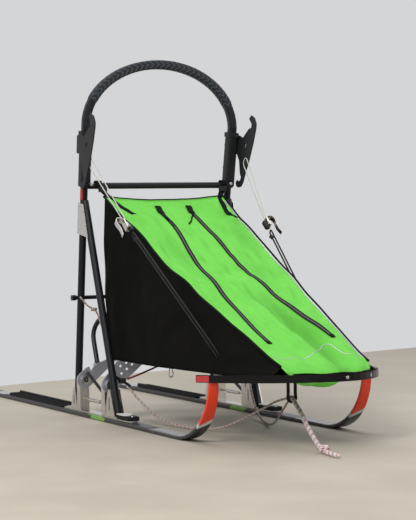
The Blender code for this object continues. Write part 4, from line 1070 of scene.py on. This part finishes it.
# %% Line and width of a ski
THICK, FLAT, CURL, CURL_ANGLE = 0.014, 1.525, 0.165, math.radians(94)
OPEN = 1.15  # How much further forward the visible curl opens than a round one
SKI_TOTAL = FLAT + CURL * CURL_ANGLE
TAIL_TAPER, TIP_ROUND = 0.09, 0.010


def ski_line(distance):
    """Station, height and angle of the ski's middle line, at a distance along it."""
    if distance <= FLAT:
        return distance, THICK / 2, 0.0
    angle = (distance - FLAT) / CURL
    return FLAT + CURL * math.sin(angle), THICK / 2 + CURL * (1 - math.cos(angle)), angle


def ski_half(distance):
    """Half the ski's width: narrow at the tail, tapered toward a rounded tip."""
    if distance < TAIL_TAPER:
        return (0.034 + 0.009 * distance / TAIL_TAPER) / 2
    share = max(0, (distance - FLAT) / (SKI_TOTAL - FLAT))
    half = (0.043 - 0.017 * share) / 2
    left = (SKI_TOTAL - distance) / TIP_ROUND
    return half * math.sqrt(max(0.12, 1 - (1 - min(1, left)) ** 2)) if left < 1 else half


# %% Finishes of the skis
SKI_BLACK, SKI_GREEN = (0.014, 0.014, 0.015), (0.16, 0.42, 0.05)
ski_base = Finish("ski_base", (0.018, 0.018, 0.018), 0.38, coat_weight=0.2)
x, y, z = ski_base.place()
# The same slant on both skis: y is counted afresh a track apart, and 0.292 is a ski's middle
slanted = x - ((y + 1.0) % (2 * HALF_TRACK) - 0.292) * 0.6
orange = slanted.step(0.6730, 0.6736)
band = slanted.step(0.6610, 0.6616) * (1 - orange)
grain = ski_base.noise(1.0, 4.0, ski_base.stretched(30, 700, 30))
black = ski_base.mix(grain.step(0.55, 0.8), SKI_BLACK, (0.05, 0.05, 0.05))
leaning = x - z * 0.8
green_side = leaning.step(-0.056, -0.054) * (1 - leaning.step(0.044, 0.046))
green_side = green_side * z.step(0.0020, 0.0022)
black = ski_base.mix(green_side, black, SKI_GREEN)
banded = ski_base.mix(band, black, (0.60, 0.68, 0.68))
ski_base.colour(orange, banded, (0.88, 0.042, 0.003))
ski_base.feed("Roughness", 0.30 + grain * 0.22)
ski_base.bump(grain, 0.00015, 0.5)

ski_top = Finish("ski_top_sheet", (0.016, 0.016, 0.017), 0.42, coat_weight=0.25)
x, y, z = ski_top.place()
leaning = x + abs(y) * 0.8
green_patch = leaning.step(0.135, 0.137) * (1 - leaning.step(0.235, 0.237))
pale = x.step(0.360, 0.362) * (1 - x.step(0.590, 0.592))
tail = x.step(-0.880, -0.878) * (1 - x.step(-0.790, -0.788))
dash = ((x * 60) % 1.0 < 0.5) * (abs(y) > 0.2485)
worn = ski_top.noise(1.0, 4.0, ski_top.stretched(40, 600, 40))
ground = ski_top.mix(worn.step(0.55, 0.8) * 0.5, SKI_BLACK, (0.06, 0.06, 0.06))
tinted = ski_top.mix(green_patch, ground, SKI_GREEN)
ski_top.colour(pale * (1 - dash) * 0.9 + tail, tinted, (0.40, 0.385, 0.38))
ski_top.feed("Roughness", 0.36 + worn * 0.2)
ski_top.bump(worn, 0.00015, 0.5)

# %% Skis
# Distances along the ski, closer together where it narrows, curls or is rounded off
spots = sorted({0.0, 0.02, 0.045, 0.07, TAIL_TAPER}
               | {TAIL_TAPER + (FLAT - TAIL_TAPER) * s / 24 for s in range(25)}
               | {FLAT + (SKI_TOTAL - TIP_ROUND - FLAT) * s / 36 for s in range(37)}
               | {SKI_TOTAL - TIP_ROUND + TIP_ROUND * s / 6 for s in range(7)})
total = len(spots) - 1
curl_centre = Vector((at(FLAT), 0, THICK / 2 + CURL))
for word, side in SIDES:
    def place(u, v, side=side):
        distance = spots[round(v * total)]
        station, height, angle = ski_line(distance)
        return Vector((at(station), side * HALF_TRACK + (2 * u - 1) * ski_half(distance), height))

    ski = laid("ski_" + word, 4, total, place)
    ski.data.materials.append(ski_top.material)
    ski.data.materials.append(ski_base.material)
    applied(ski, "SOLIDIFY", thickness=THICK - 0.0002, offset=0, material_offset=1,
            material_offset_rim=1)
    applied(ski, "BEVEL", width=0.0016, segments=2, limit_method="ANGLE")
    outer = CURL + THICK / 2
    for vertex in ski.data.vertices:
        # The ski thins toward its tip, and its running face stays where it is
        x, z = vertex.co.x, vertex.co.z
        if x <= at(FLAT):
            keep = 1 - 0.3 * ramp(x, at(1.10), 0.42)
            vertex.co.z = z * keep
        else:
            spoke = Vector((x, z)) - curl_centre.xz
            turned = math.atan2(spoke.x, -spoke.y)
            keep = 0.7 - 0.26 * turned / CURL_ANGLE
            spoke = spoke.normalized() * (outer - (outer - spoke.length) * keep)
            vertex.co.x = curl_centre.x + spoke.x * OPEN
            vertex.co.z = curl_centre.z + spoke.y
    for face in ski.data.polygons:
        if face.center.x <= at(FLAT):
            below = face.normal.z < 0.2
        else:
            outward = (Vector((face.center.x, 0, face.center.z)) - curl_centre).normalized()
            below = outward.dot(face.normal) > -0.2
        face.material_index = 1 if below else 0
    fresh()
    ski.select_set(True)
    bpy.context.view_layer.objects.active = ski
    bpy.ops.object.shade_smooth_by_angle(angle=math.radians(35))
    settled(ski)
    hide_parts("runner_" + word)
print("skis", round(SKI_TOTAL, 3), "m along their curve")

# %% [markdown]
# ## The wound grip
# The top of the handlebar is wrapped in a rubbery tape whose edges cross in a row of chevrons.
# Each turn of the tape could be modelled, but its edges are a fraction of a millimetre high. So
# it is one tube, a little fatter than the bar, whose height and colour both read a zigzag on
# the UV map: the distance along, plus the distance from the middle of the face.

# %% Grip
BAR_SPRING, BAR_CROWN = 0.880, 0.1895  # Height where the arch starts, and its rise
BAR_FACE, CHEVRON_PITCH = 0.025, 0.0185
grip = Finish("wound_grip", (0.030, 0.036, 0.045), 0.5, specular_ior_level=0.35)
across, along = grip.strip()
zigzag = abs((across / BAR_FACE) % 1.0 - 0.5) * 2.0
ridge = (along / CHEVRON_PITCH + zigzag * 0.8) % 1.0
groove = 1 - abs(ridge - 0.5) * 2
lines = groove.step(0.62, 0.92)
cross_lines = abs(((along / (CHEVRON_PITCH / 2) - zigzag * 0.8 + 40) % 1.0) - 0.5) * 2
fleck = grip.noise(300.0, 3.0)
grip.colour(lines + (cross_lines > 0.86) * 0.5, (0.008, 0.010, 0.014), (0.060, 0.076, 0.105))
grip.feed("Roughness", 0.42 + fleck * 0.3)
grip.bump(lines + cross_lines * 0.25 + fleck * 0.2, 0.0009)


def arch_point(angle):
    """A point on the handlebar's arch, from its right end over the top to its left."""
    spring = leg_point(BAR_SPRING, 1)
    return Vector((spring.x, -spring.y * math.cos(angle),
                   BAR_SPRING + BAR_CROWN * math.sin(angle)))


GRIP_FROM, GRIP_TO, GRIP_STEPS = math.radians(24), math.radians(160), 90
SQUARENESS = 5.0  # Power of the section's curve: 2 is a circle, and more is squarer
grip_line = [arch_point(GRIP_FROM + (GRIP_TO - GRIP_FROM) * s / GRIP_STEPS)
             for s in range(GRIP_STEPS + 1)]


def grip_section(angle, share):
    """Offset on a square with round corners, a little smaller in the first and last ring."""
    end = min(share, 1 - share) * GRIP_STEPS
    half = 0.0139 if end >= 1 else 0.0130
    c, s = math.cos(angle + math.pi / 4), math.sin(angle + math.pi / 4)
    size = half / (abs(c) ** SQUARENESS + abs(s) ** SQUARENESS) ** (1 / SQUARENESS)
    return size * c, size * s


wrap = rolled("grip_wrap", grip_line, grip_section, around=24, hint=FORWARD, closed_ends=False)
settled(wrap, finish=grip)
print("grip", round(reach(grip_line), 3), "m")

# %% [markdown]
# ## Stays
# Two white lines run from each hook plate to a tightening lever, and two black ones go on to
# the rail. They are tight, so they are straight. The frame has them as plain loops, and these
# are the same loops with a braid on them. A torus pulled long would stretch its bends too, so
# the line is worked out point by point: half a turn, a straight run, half a turn and back.

# %% A closed loop of rope
def loop_line_between(start, end, start_half, end_half):
    """A long closed loop in an upright plane, as points that end where they began."""
    along = (end - start).normalized()
    across = along.cross(Vector((0, 1, 0))).normalized()
    points = []
    for centre, half, turn in ((start, start_half, math.pi / 2), (end, end_half, -math.pi / 2)):
        for step in range(11):
            angle = turn + math.pi * step / 10
            points.append(centre + along * half * math.cos(angle) + across * half * math.sin(angle))
        other, other_half = (end, end_half) if centre is start else (start, start_half)
        goal = other + across * other_half * math.sin(turn + math.pi)
        last = points[-1]
        points += [last.lerp(goal, s / 12) for s in range(1, 12)]
    return points + [points[0]]


# %% Stays
# Sizes of the frame's own stays: the gap between neighbours, the two cords, the loops' half
# widths, the plates' outer face, and the stations and heights that a stay runs between
GAP, WHITE_RADIUS, BLACK_RADIUS = 0.0003, 0.0016, 0.0024
STAY_WIDE, STAY_NARROW, LEVER_HALF_LENGTH = 0.014, 0.006, 0.025
STAY_TOP, STAY_TOP_HEIGHT, STAY_FOOT = 0.988, 0.768, 1.660
LEVER = (1.182, 0.229, 0.574)
PLATE_FACE = leg_point(STAY_TOP_HEIGHT, 1).y + 0.016 + 0.0025 + GAP
FOOT_LIFT = RAIL_RADIUS + GAP + BLACK_RADIUS + STAY_NARROW


def stay_ends(side, inset, outset, lift):
    """Where a stay starts at the hook plate, the lever's middle, and its foot over the rail."""
    return (Vector((at(STAY_TOP), side * (PLATE_FACE - inset), STAY_TOP_HEIGHT)),
            Vector((at(LEVER[0]), side * LEVER[1], LEVER[2])),
            Vector((at(STAY_FOOT), side * (rail_half(STAY_FOOT) + outset), RAIL_HEIGHT + lift)))


for word, side in SIDES:
    start, lever, foot = stay_ends(side, WHITE_RADIUS + GAP + STAY_WIDE / 8, RAIL_RADIUS / 4,
                                   FOOT_LIFT)
    up, down = (start - lever).normalized(), (foot - lever).normalized()
    narrow = LEVER_HALF_LENGTH + STAY_NARROW + GAP
    line = loop_line_between(start, lever + up * (narrow + WHITE_RADIUS), STAY_WIDE, STAY_NARROW)
    white = rolled("stay_white_" + word, line, round_section(WHITE_RADIUS + 0.0001), around=8,
                   closed_ends=False)
    settled(white, finish=white_cord)
    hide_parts("stay_upper_" + word)
    line = loop_line_between(lever + down * (narrow + BLACK_RADIUS), foot, STAY_NARROW,
                             STAY_NARROW)
    black = rolled("stay_black_" + word, line, round_section(BLACK_RADIUS), around=8,
                   closed_ends=False)
    settled(black, finish=black_cord)
    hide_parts("stay_lower_" + word)

# %% [markdown]
# ## Tightening levers
# Each lever is a strap of bare metal bent over like a hook, wide at its pivot and narrow at its
# tail, beside a dark clip that holds the rope's free end. The strap could be cut from a block,
# but a strip that is laid along the bend and then thickened is evenly thick all round it.

# %% Levers
# The bent strap seen from its edge: along the stay, and outward from it
STRAP = ((0.006, 0.000), (-0.014, 0.002), (-0.030, 0.006), (-0.037, 0.016), (-0.034, 0.026),
         (-0.020, 0.030), (0.000, 0.029), (0.018, 0.031), (0.034, 0.036))
for word, side in SIDES:
    start, lever, foot = stay_ends(side, 0, 0, 0.0166)
    down = (foot - start).normalized()
    out = Vector((0, side, 0))
    out = (out - down * out.dot(down)).normalized()
    rise = (-down.cross(out)).normalized()
    if rise.z < 0:
        rise = -rise
    line = eased([lever + down * a + out * b for a, b in STRAP], 5)
    total = len(line) - 1

    def place(u, v, line=line, total=total, rise=rise):
        width = 0.022 - 0.010 * v
        return line[round(v * total)] + rise * (u - 0.5) * width

    strap = laid("lever_strap", 4, total, place)
    applied(strap, "SOLIDIFY", thickness=0.0018, offset=0)
    applied(strap, "BEVEL", width=0.0005, segments=2, limit_method="ANGLE")
    strap.data.materials.append(aluminium.material)
    slope = (0, math.atan2(-down.z, down.x), 0)
    cover = block("lever_cover", (0.038, 0.006, 0.022), lever + out * 0.005 - down * 0.012,
                  aluminium, slope, width=0.0028, segments=3)
    clip = block("lever_clip", (0.030, 0.013, 0.014), lever - out * 0.005, plate_black, slope,
                 width=0.003, segments=3)
    fresh()
    bpy.ops.mesh.primitive_cylinder_add(vertices=20, radius=0.0035, depth=0.020,
                                        location=lever - down * 0.012 + out * 0.003,
                                        rotation=rise.to_track_quat("Z", "Y").to_euler())
    pin = bpy.context.object
    applied(pin, "BEVEL", width=0.0008, segments=2, limit_method="ANGLE")
    pin.data.materials.append(steel.material)
    tie = knot("lever_tie", lever + down * 0.050 - rise * 0.004, 0.0085, 0.0026, down, 36)
    tie.data.materials.append(black_cord.material)
    made = united("tension_lever_" + word, [strap, cover, clip, pin, tie])
    settled(made)
    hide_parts("stay_lever_" + word)

# %% [markdown]
# ## Bolts
# A button-head bolt is modelled once: a short cylinder, its top rim bevelled round, its top
# face inset and pushed down for the key. Every other bolt is a copy with its own mesh, turned
# to the face that it sits on.

# %% One bolt
def picked(made, rule):
    """Select the faces that a rule picks, and go to edit mode."""
    for face in made.data.polygons:
        face.select = rule(face)
    bpy.ops.object.mode_set(mode="EDIT")


def button_bolt():
    """One bolt that stands on the floor, head up."""
    fresh()
    bpy.ops.mesh.primitive_cylinder_add(vertices=18, radius=0.0055, depth=0.0036,
                                        location=(0, 0, 0.0018))
    made = bpy.context.object
    bpy.ops.object.mode_set(mode="EDIT")
    bpy.ops.mesh.select_mode(type="FACE")
    bpy.ops.mesh.select_all(action="DESELECT")
    bpy.ops.object.mode_set(mode="OBJECT")
    picked(made, lambda face: face.normal.z > 0.9)
    bpy.ops.mesh.bevel(offset=0.0018, segments=3, affect="EDGES")
    bpy.ops.mesh.select_all(action="DESELECT")
    bpy.ops.object.mode_set(mode="OBJECT")
    top_z = max(face.center.z for face in made.data.polygons)
    picked(made, lambda face: face.normal.z > 0.99 and face.center.z > top_z - 1e-5)
    bpy.ops.mesh.inset(thickness=0.0012)
    bpy.ops.mesh.extrude_region_move(TRANSFORM_OT_translate={"value": (0, 0, -0.0020)})
    bpy.ops.object.mode_set(mode="OBJECT")
    bpy.ops.object.shade_smooth_by_angle(angle=math.radians(35))
    made.data.materials.append(steel.material)
    return made


# %% Copies of the bolt
pattern = button_bolt()
pattern.name = "bolt_pattern"


def bolt(place, facing, size=1.0):
    """A copy of the bolt on a face, with its own mesh."""
    made = pattern.copy()
    made.data = pattern.data.copy()
    bpy.context.collection.objects.link(made)
    turn = Vector(facing).to_track_quat("Z", "Y").to_matrix().to_4x4()
    made.matrix_world = Matrix.Translation(place) @ turn @ Matrix.Diagonal((size, size, size, 1))
    return made


def leg_front(side):
    """Direction square to a stanchion, to the front."""
    up = (leg_point(0.8, side) - leg_point(0.1, side)).normalized()
    return Vector((0, 1, 0)).cross(up).normalized()


# %% Bolts of the clamps, gussets and cross bar
CLAMP_BACK, STUD_BACK, GUSSET_OUT = 0.0162, 0.0340, 0.0144
# Height of each bolt in the gusset plate, and its distance ahead of the stanchion
GUSSET_BOLTS = ((0.640, 0.0), (0.600, 0.004), (0.572, 0.006), (0.628, 0.03269), (0.590, 0.05055))
for word, side in SIDES:
    forward, out = leg_front(side), Vector((0, side, 0))
    made = [bolt(leg_point(height, side) - forward * CLAMP_BACK, -forward, 0.85)
            for height in (0.720, 0.782, 0.846)]
    for height in (0.753, 0.822, 0.857):
        shank = bolt(leg_point(height, side) - forward * CLAMP_BACK, -forward, 0.55)
        shank.scale.z = 5.6
        made += [shank, bolt(leg_point(height, side) - forward * STUD_BACK, -forward)]
    for height, ahead in GUSSET_BOLTS:
        place = leg_point(height, side) + forward * ahead + out * GUSSET_OUT
        made.append(bolt(place, out, 0.6))
    made.append(bolt(BAR + out * 0.2385, out, 0.9))
    made.append(bolt(BAR + FORWARD * 0.0108 + out * 0.237, FORWARD, 0.9))
    settled(united("frame_bolts_" + word, made))

# %% Foot and hub bolts
for word, side in SIDES:
    made = []
    for station, lift in ((0.735, 0.0173), (0.760, 0.0173), (1.128, 0.0206), (1.205, 0.0293)):
        made.append(bolt(Vector((at(station), side * HALF_TRACK, lift)), (0, 0, 1), 0.8))
    for station in (0.8703, 1.0553):
        hub = bolt(Vector((at(station), side * HALF_TRACK, 0.110)), FORWARD, 1.3)
        hub.data.materials[0] = plate_black.material
        made.append(hub)
    settled(united("foot_bolts_" + word, made))
print("bolts placed")

# %% [markdown]
# ## Small cords
# Sleds are used with cold hands and mended with cord. A spare end of the bridle's rope is knotted
# from the lower cross bar down to the rear bridge, a dark elastic and a snap hang under the bag,
# and the lashing at each front hub is black tape. All are rolled as the ropes were, only thinner.

# %% Spare cord and elastic band
SMALL_RADIUS = 0.0028
SPARE = ((0.8600, -0.248, 0.3640), (0.8595, -0.222, 0.3350), (0.8600, -0.196, 0.3190),
         (0.8605, -0.177, 0.2690), (0.8600, -0.164, 0.2470), (0.8600, -0.141, 0.2210),
         (0.8600, -0.134, 0.1830))
spare_line = eased([(at(station), y, z) for station, y, z in SPARE], 5)
spare = rolled("spare_cord", spare_line, round_section(SMALL_RADIUS), around=8)
settled(spare, finish=bridle_finish)
spare_knot = knot("spare_cord_knot", Vector((at(0.860), -0.203, 0.324)), 0.0105, 0.0030, steps=40)
settled(spare_knot, finish=bridle_finish)
reach(spare_line)
SMALL_X = at(1.100)  # The elastic and the snap hang side by side
band_line = eased([(SMALL_X, -0.2025, 0.1286), (SMALL_X, -0.168, 0.1390),
                   (SMALL_X, -0.134, 0.1505), (SMALL_X, -0.1004, 0.1623)], 6)
band_red = rolled("elastic_band", band_line, round_section(SMALL_RADIUS), around=8)
dark_red = Finish("dark_red_elastic", (0.16, 0.012, 0.016), 0.7)
dark_red.bump(dark_red.noise(500.0, 2.0), 0.0002)
settled(band_red, finish=dark_red)
reach(band_line)

# %% Snap and hub lashings
# An oval ring, a little fuller on its lower half
snap_line = []
for step in range(9):
    turn = step / 8 * math.tau
    fuller = 1.2 if step > 4 else 1.0
    snap_line.append((SMALL_X, -0.060 + 0.006 * math.cos(turn) * fuller,
                      0.140 + 0.014 * math.sin(turn)))
snap = rolled("snap_hook", eased(snap_line, 4), round_section(0.0019), around=8, hint=FORWARD)
settled(snap, finish=steel)
for word, side in SIDES:
    tape = eased([(at(1.052), side * 0.2200, 0.1320), (at(1.054), side * 0.1980, 0.1190),
                  (at(1.052), side * 0.1720, 0.1020)], 5)
    lashing = rolled("hub_lashing_" + word, tape, round_section(0.0042), around=8)
    lashing_knot = knot("hub_lashing_knot", Vector((at(1.054), side * 0.1990, 0.1200)), 0.0125,
                        0.0038, steps=40)
    lashing = united("hub_lashing_" + word, [lashing, lashing_knot])
    settled(lashing, finish=black_cord)

# %% Label
LABEL_RADIUS = 0.0116


def label_place(u, v):
    """A plain label wrapped round the front of the right stanchion."""
    centre = leg_point(0.658 + 0.036 * v, -1)
    angle = math.radians(-120 + 75 * u)
    return centre + Vector((math.cos(angle), math.sin(angle), 0)) * LABEL_RADIUS


label = laid("leg_label", 10, 2, label_place)
applied(label, "SOLIDIFY", thickness=0.0004, offset=0)
label_red = Finish("label", (0.50, 0.035, 0.03), 0.4)
settled(label, finish=label_red)
print("small cords placed")

# %% [markdown]
# ## Reflectors, bolts and hem on the bow
# The bow's two ends carry red reflectors, and two bolt heads show on its front. The bag's front
# hem lies over the bow's edge as a flat black band. All of them follow the bow's curve, so its
# outline is worked out from the frame's sizes, and one function gives a point on its face.

# %% Reflectors, bolts and hem on the bow
BOW_HALF, BOW_REACH, BOW_THICK, BOW_POWER = 0.2608, 0.324, 0.008, 1.2
BOW_START = at(LENGTH - BOW_REACH)


def bow_height(x):
    """Height of the bow's middle line, which rises to the front."""
    return 0.176 + 0.014 * (x - BOW_START) / BOW_REACH


def bow_front(y):
    """Station of the bow's middle line at a distance from the middle plane."""
    share = min(1, abs(y) / BOW_HALF)
    return LENGTH - BOW_THICK / 2 - BOW_REACH * (1 - (1 - share * share) ** (1 / BOW_POWER))


def bow_point(y):
    """A point on the bow's outer face at a side distance, and the direction outward there."""
    tiny = 0.0005
    low, high = max(y - tiny, -BOW_HALF), min(y + tiny, BOW_HALF)
    along = Vector((bow_front(high) - bow_front(low), high - low, 0)).normalized()
    outward = Vector((along.y, -along.x, 0))
    x = at(bow_front(y))
    return Vector((x, y, bow_height(x))) + outward * BOW_THICK / 2, outward


REFLECTOR_RED = (0.62, 0.010, 0.016)
reflector = Finish("red_reflector", REFLECTOR_RED, 0.22, coat_weight=0.6)
x, y, z = reflector.place()
cells = (x * 900).sine() * (z * 900).sine()
reflector.colour(cells.step(0.0, 0.8), REFLECTOR_RED, (0.30, 0.004, 0.008))
reflector.bump(cells, 0.0004)
for word, side in SIDES:
    def place(u, v, side=side):
        x = BOW_START + 0.001 + 0.046 * u
        z = bow_height(x) + (v - 0.5) * 0.0165
        rest = max(0.0, 1 - (1 - (at(LENGTH) - BOW_THICK / 2 - x) / BOW_REACH) ** BOW_POWER)
        y = BOW_HALF * math.sqrt(min(1, rest))
        return Vector((x, side * (y + BOW_THICK / 2 + 0.0010), z))

    made = laid("reflector_" + word, 10, 3, place)
    applied(made, "SOLIDIFY", thickness=0.0014, offset=0)
    settled(made, finish=reflector)

made = [bolt(*bow_point(y), 0.8) for y in (0.003, 0.094)]
settled(united("bow_bolts", made))


def hem_place(u, v):
    """u runs inward over the bow's edge, v along it from right to left."""
    y = -0.120 + 0.262 * v
    spot, outward = bow_point(y)
    high = 0.0125 + 0.0012 * math.sin(v * 19) + 0.002 * bell(v, 0.86, 0.05)
    return spot + outward * (0.0012 - 0.0135 * u) + Vector((0, 0, high - 0.004 * u * u))


hem = laid("bow_hem", 4, 40, hem_place)
applied(hem, "SOLIDIFY", thickness=0.002, offset=0)
settled(hem, finish=webbing)
print("bow dressed")

# %% [markdown]
# ## Floor and light
# A plain floor and big soft lamps: one above and ahead to the left of the camera, a weaker one
# on the far side, one overhead, and a pale sky all round that mostly fills the shadows. The
# floor ends a little behind the sled. A pale board could stand there, but it would throw light
# on the sled, so the backdrop is a second colour of the sky, which only the camera, reflections
# and clear pieces see.

# %% Floor
FLOOR_SIZE, FLOOR_BACK, FLOOR_TURN = 14.0, 1.24, math.atan(0.275)
fresh()
ahead = Vector((math.cos(FLOOR_TURN), math.sin(FLOOR_TURN), 0))
middle_of_floor = ahead * (FLOOR_SIZE / 2 - FLOOR_BACK * math.cos(FLOOR_TURN))
bpy.ops.mesh.primitive_plane_add(size=FLOOR_SIZE, rotation=(0, 0, FLOOR_TURN),
                                 location=middle_of_floor - Vector((0, 0, 0.0002)))
floor = bpy.context.object
floor.name = "studio_floor"
ground = Finish("studio_floor", (0.60, 0.55, 0.48), 0.55)
mottle = ground.noise(3.0, 5.0)
ground.colour(mottle.step(0.3, 0.8), (0.47, 0.42, 0.345), (0.56, 0.505, 0.425))
ground.feed("Roughness", 0.5 + mottle * 0.3)
floor.data.materials.append(ground.material)

# %% Lamps and sky
def soft_lamp(name, place, target, size, power, colour=(1, 1, 1)):
    """A square area lamp turned to a target."""
    fresh()
    bpy.ops.object.light_add(type="AREA", location=place)
    lamp = bpy.context.object
    lamp.name = name
    lamp.data.shape = "SQUARE"
    lamp.data.size = size
    lamp.data.energy = power
    lamp.data.color = colour
    lamp.rotation_euler = (Vector(target) - Vector(place)).to_track_quat("-Z", "Y").to_euler()


soft_lamp("key", (3.0, -3.4, 3.6), (0.2, 0, 0.3), 1.8, 160, (1.0, 0.985, 0.96))
soft_lamp("fill", (2.4, 3.6, 2.6), (0.2, 0, 0.3), 2.6, 50, (0.96, 0.98, 1.0))
soft_lamp("top", (-0.6, 0.2, 4.2), (0.1, 0, 0.2), 2.8, 60)

world = bpy.data.worlds.new("pale_sky")
bpy.context.scene.world = world
world.use_nodes = True
tree = world.node_tree
sky = tree.nodes["Background"]
sky.inputs["Color"].default_value = (0.72, 0.73, 0.75, 1)
sky.inputs["Strength"].default_value = 0.52
bare = tree.nodes.new("ShaderNodeBackground")
bare.inputs["Color"].default_value = (0.66, 0.665, 0.68, 1)
bare.inputs["Strength"].default_value = 1.0
path = tree.nodes.new("ShaderNodeLightPath")
seen = path.outputs["Is Camera Ray"]
for ray in ("Is Glossy Ray", "Is Transmission Ray"):
    either = tree.nodes.new("ShaderNodeMath")
    either.operation = "ADD"
    either.use_clamp = True
    tree.links.new(seen, either.inputs[0])
    tree.links.new(path.outputs[ray], either.inputs[1])
    seen = either.outputs[0]
both = tree.nodes.new("ShaderNodeMixShader")
tree.links.new(seen, both.inputs[0])
tree.links.new(sky.outputs[0], both.inputs[1])
tree.links.new(bare.outputs[0], both.inputs[2])
tree.links.new(both.outputs[0], tree.nodes["World Output"].inputs[0])
bpy.context.scene.view_settings.view_transform = "Standard"
print("lit")

# %% Finish
bpy.data.objects.remove(pattern)
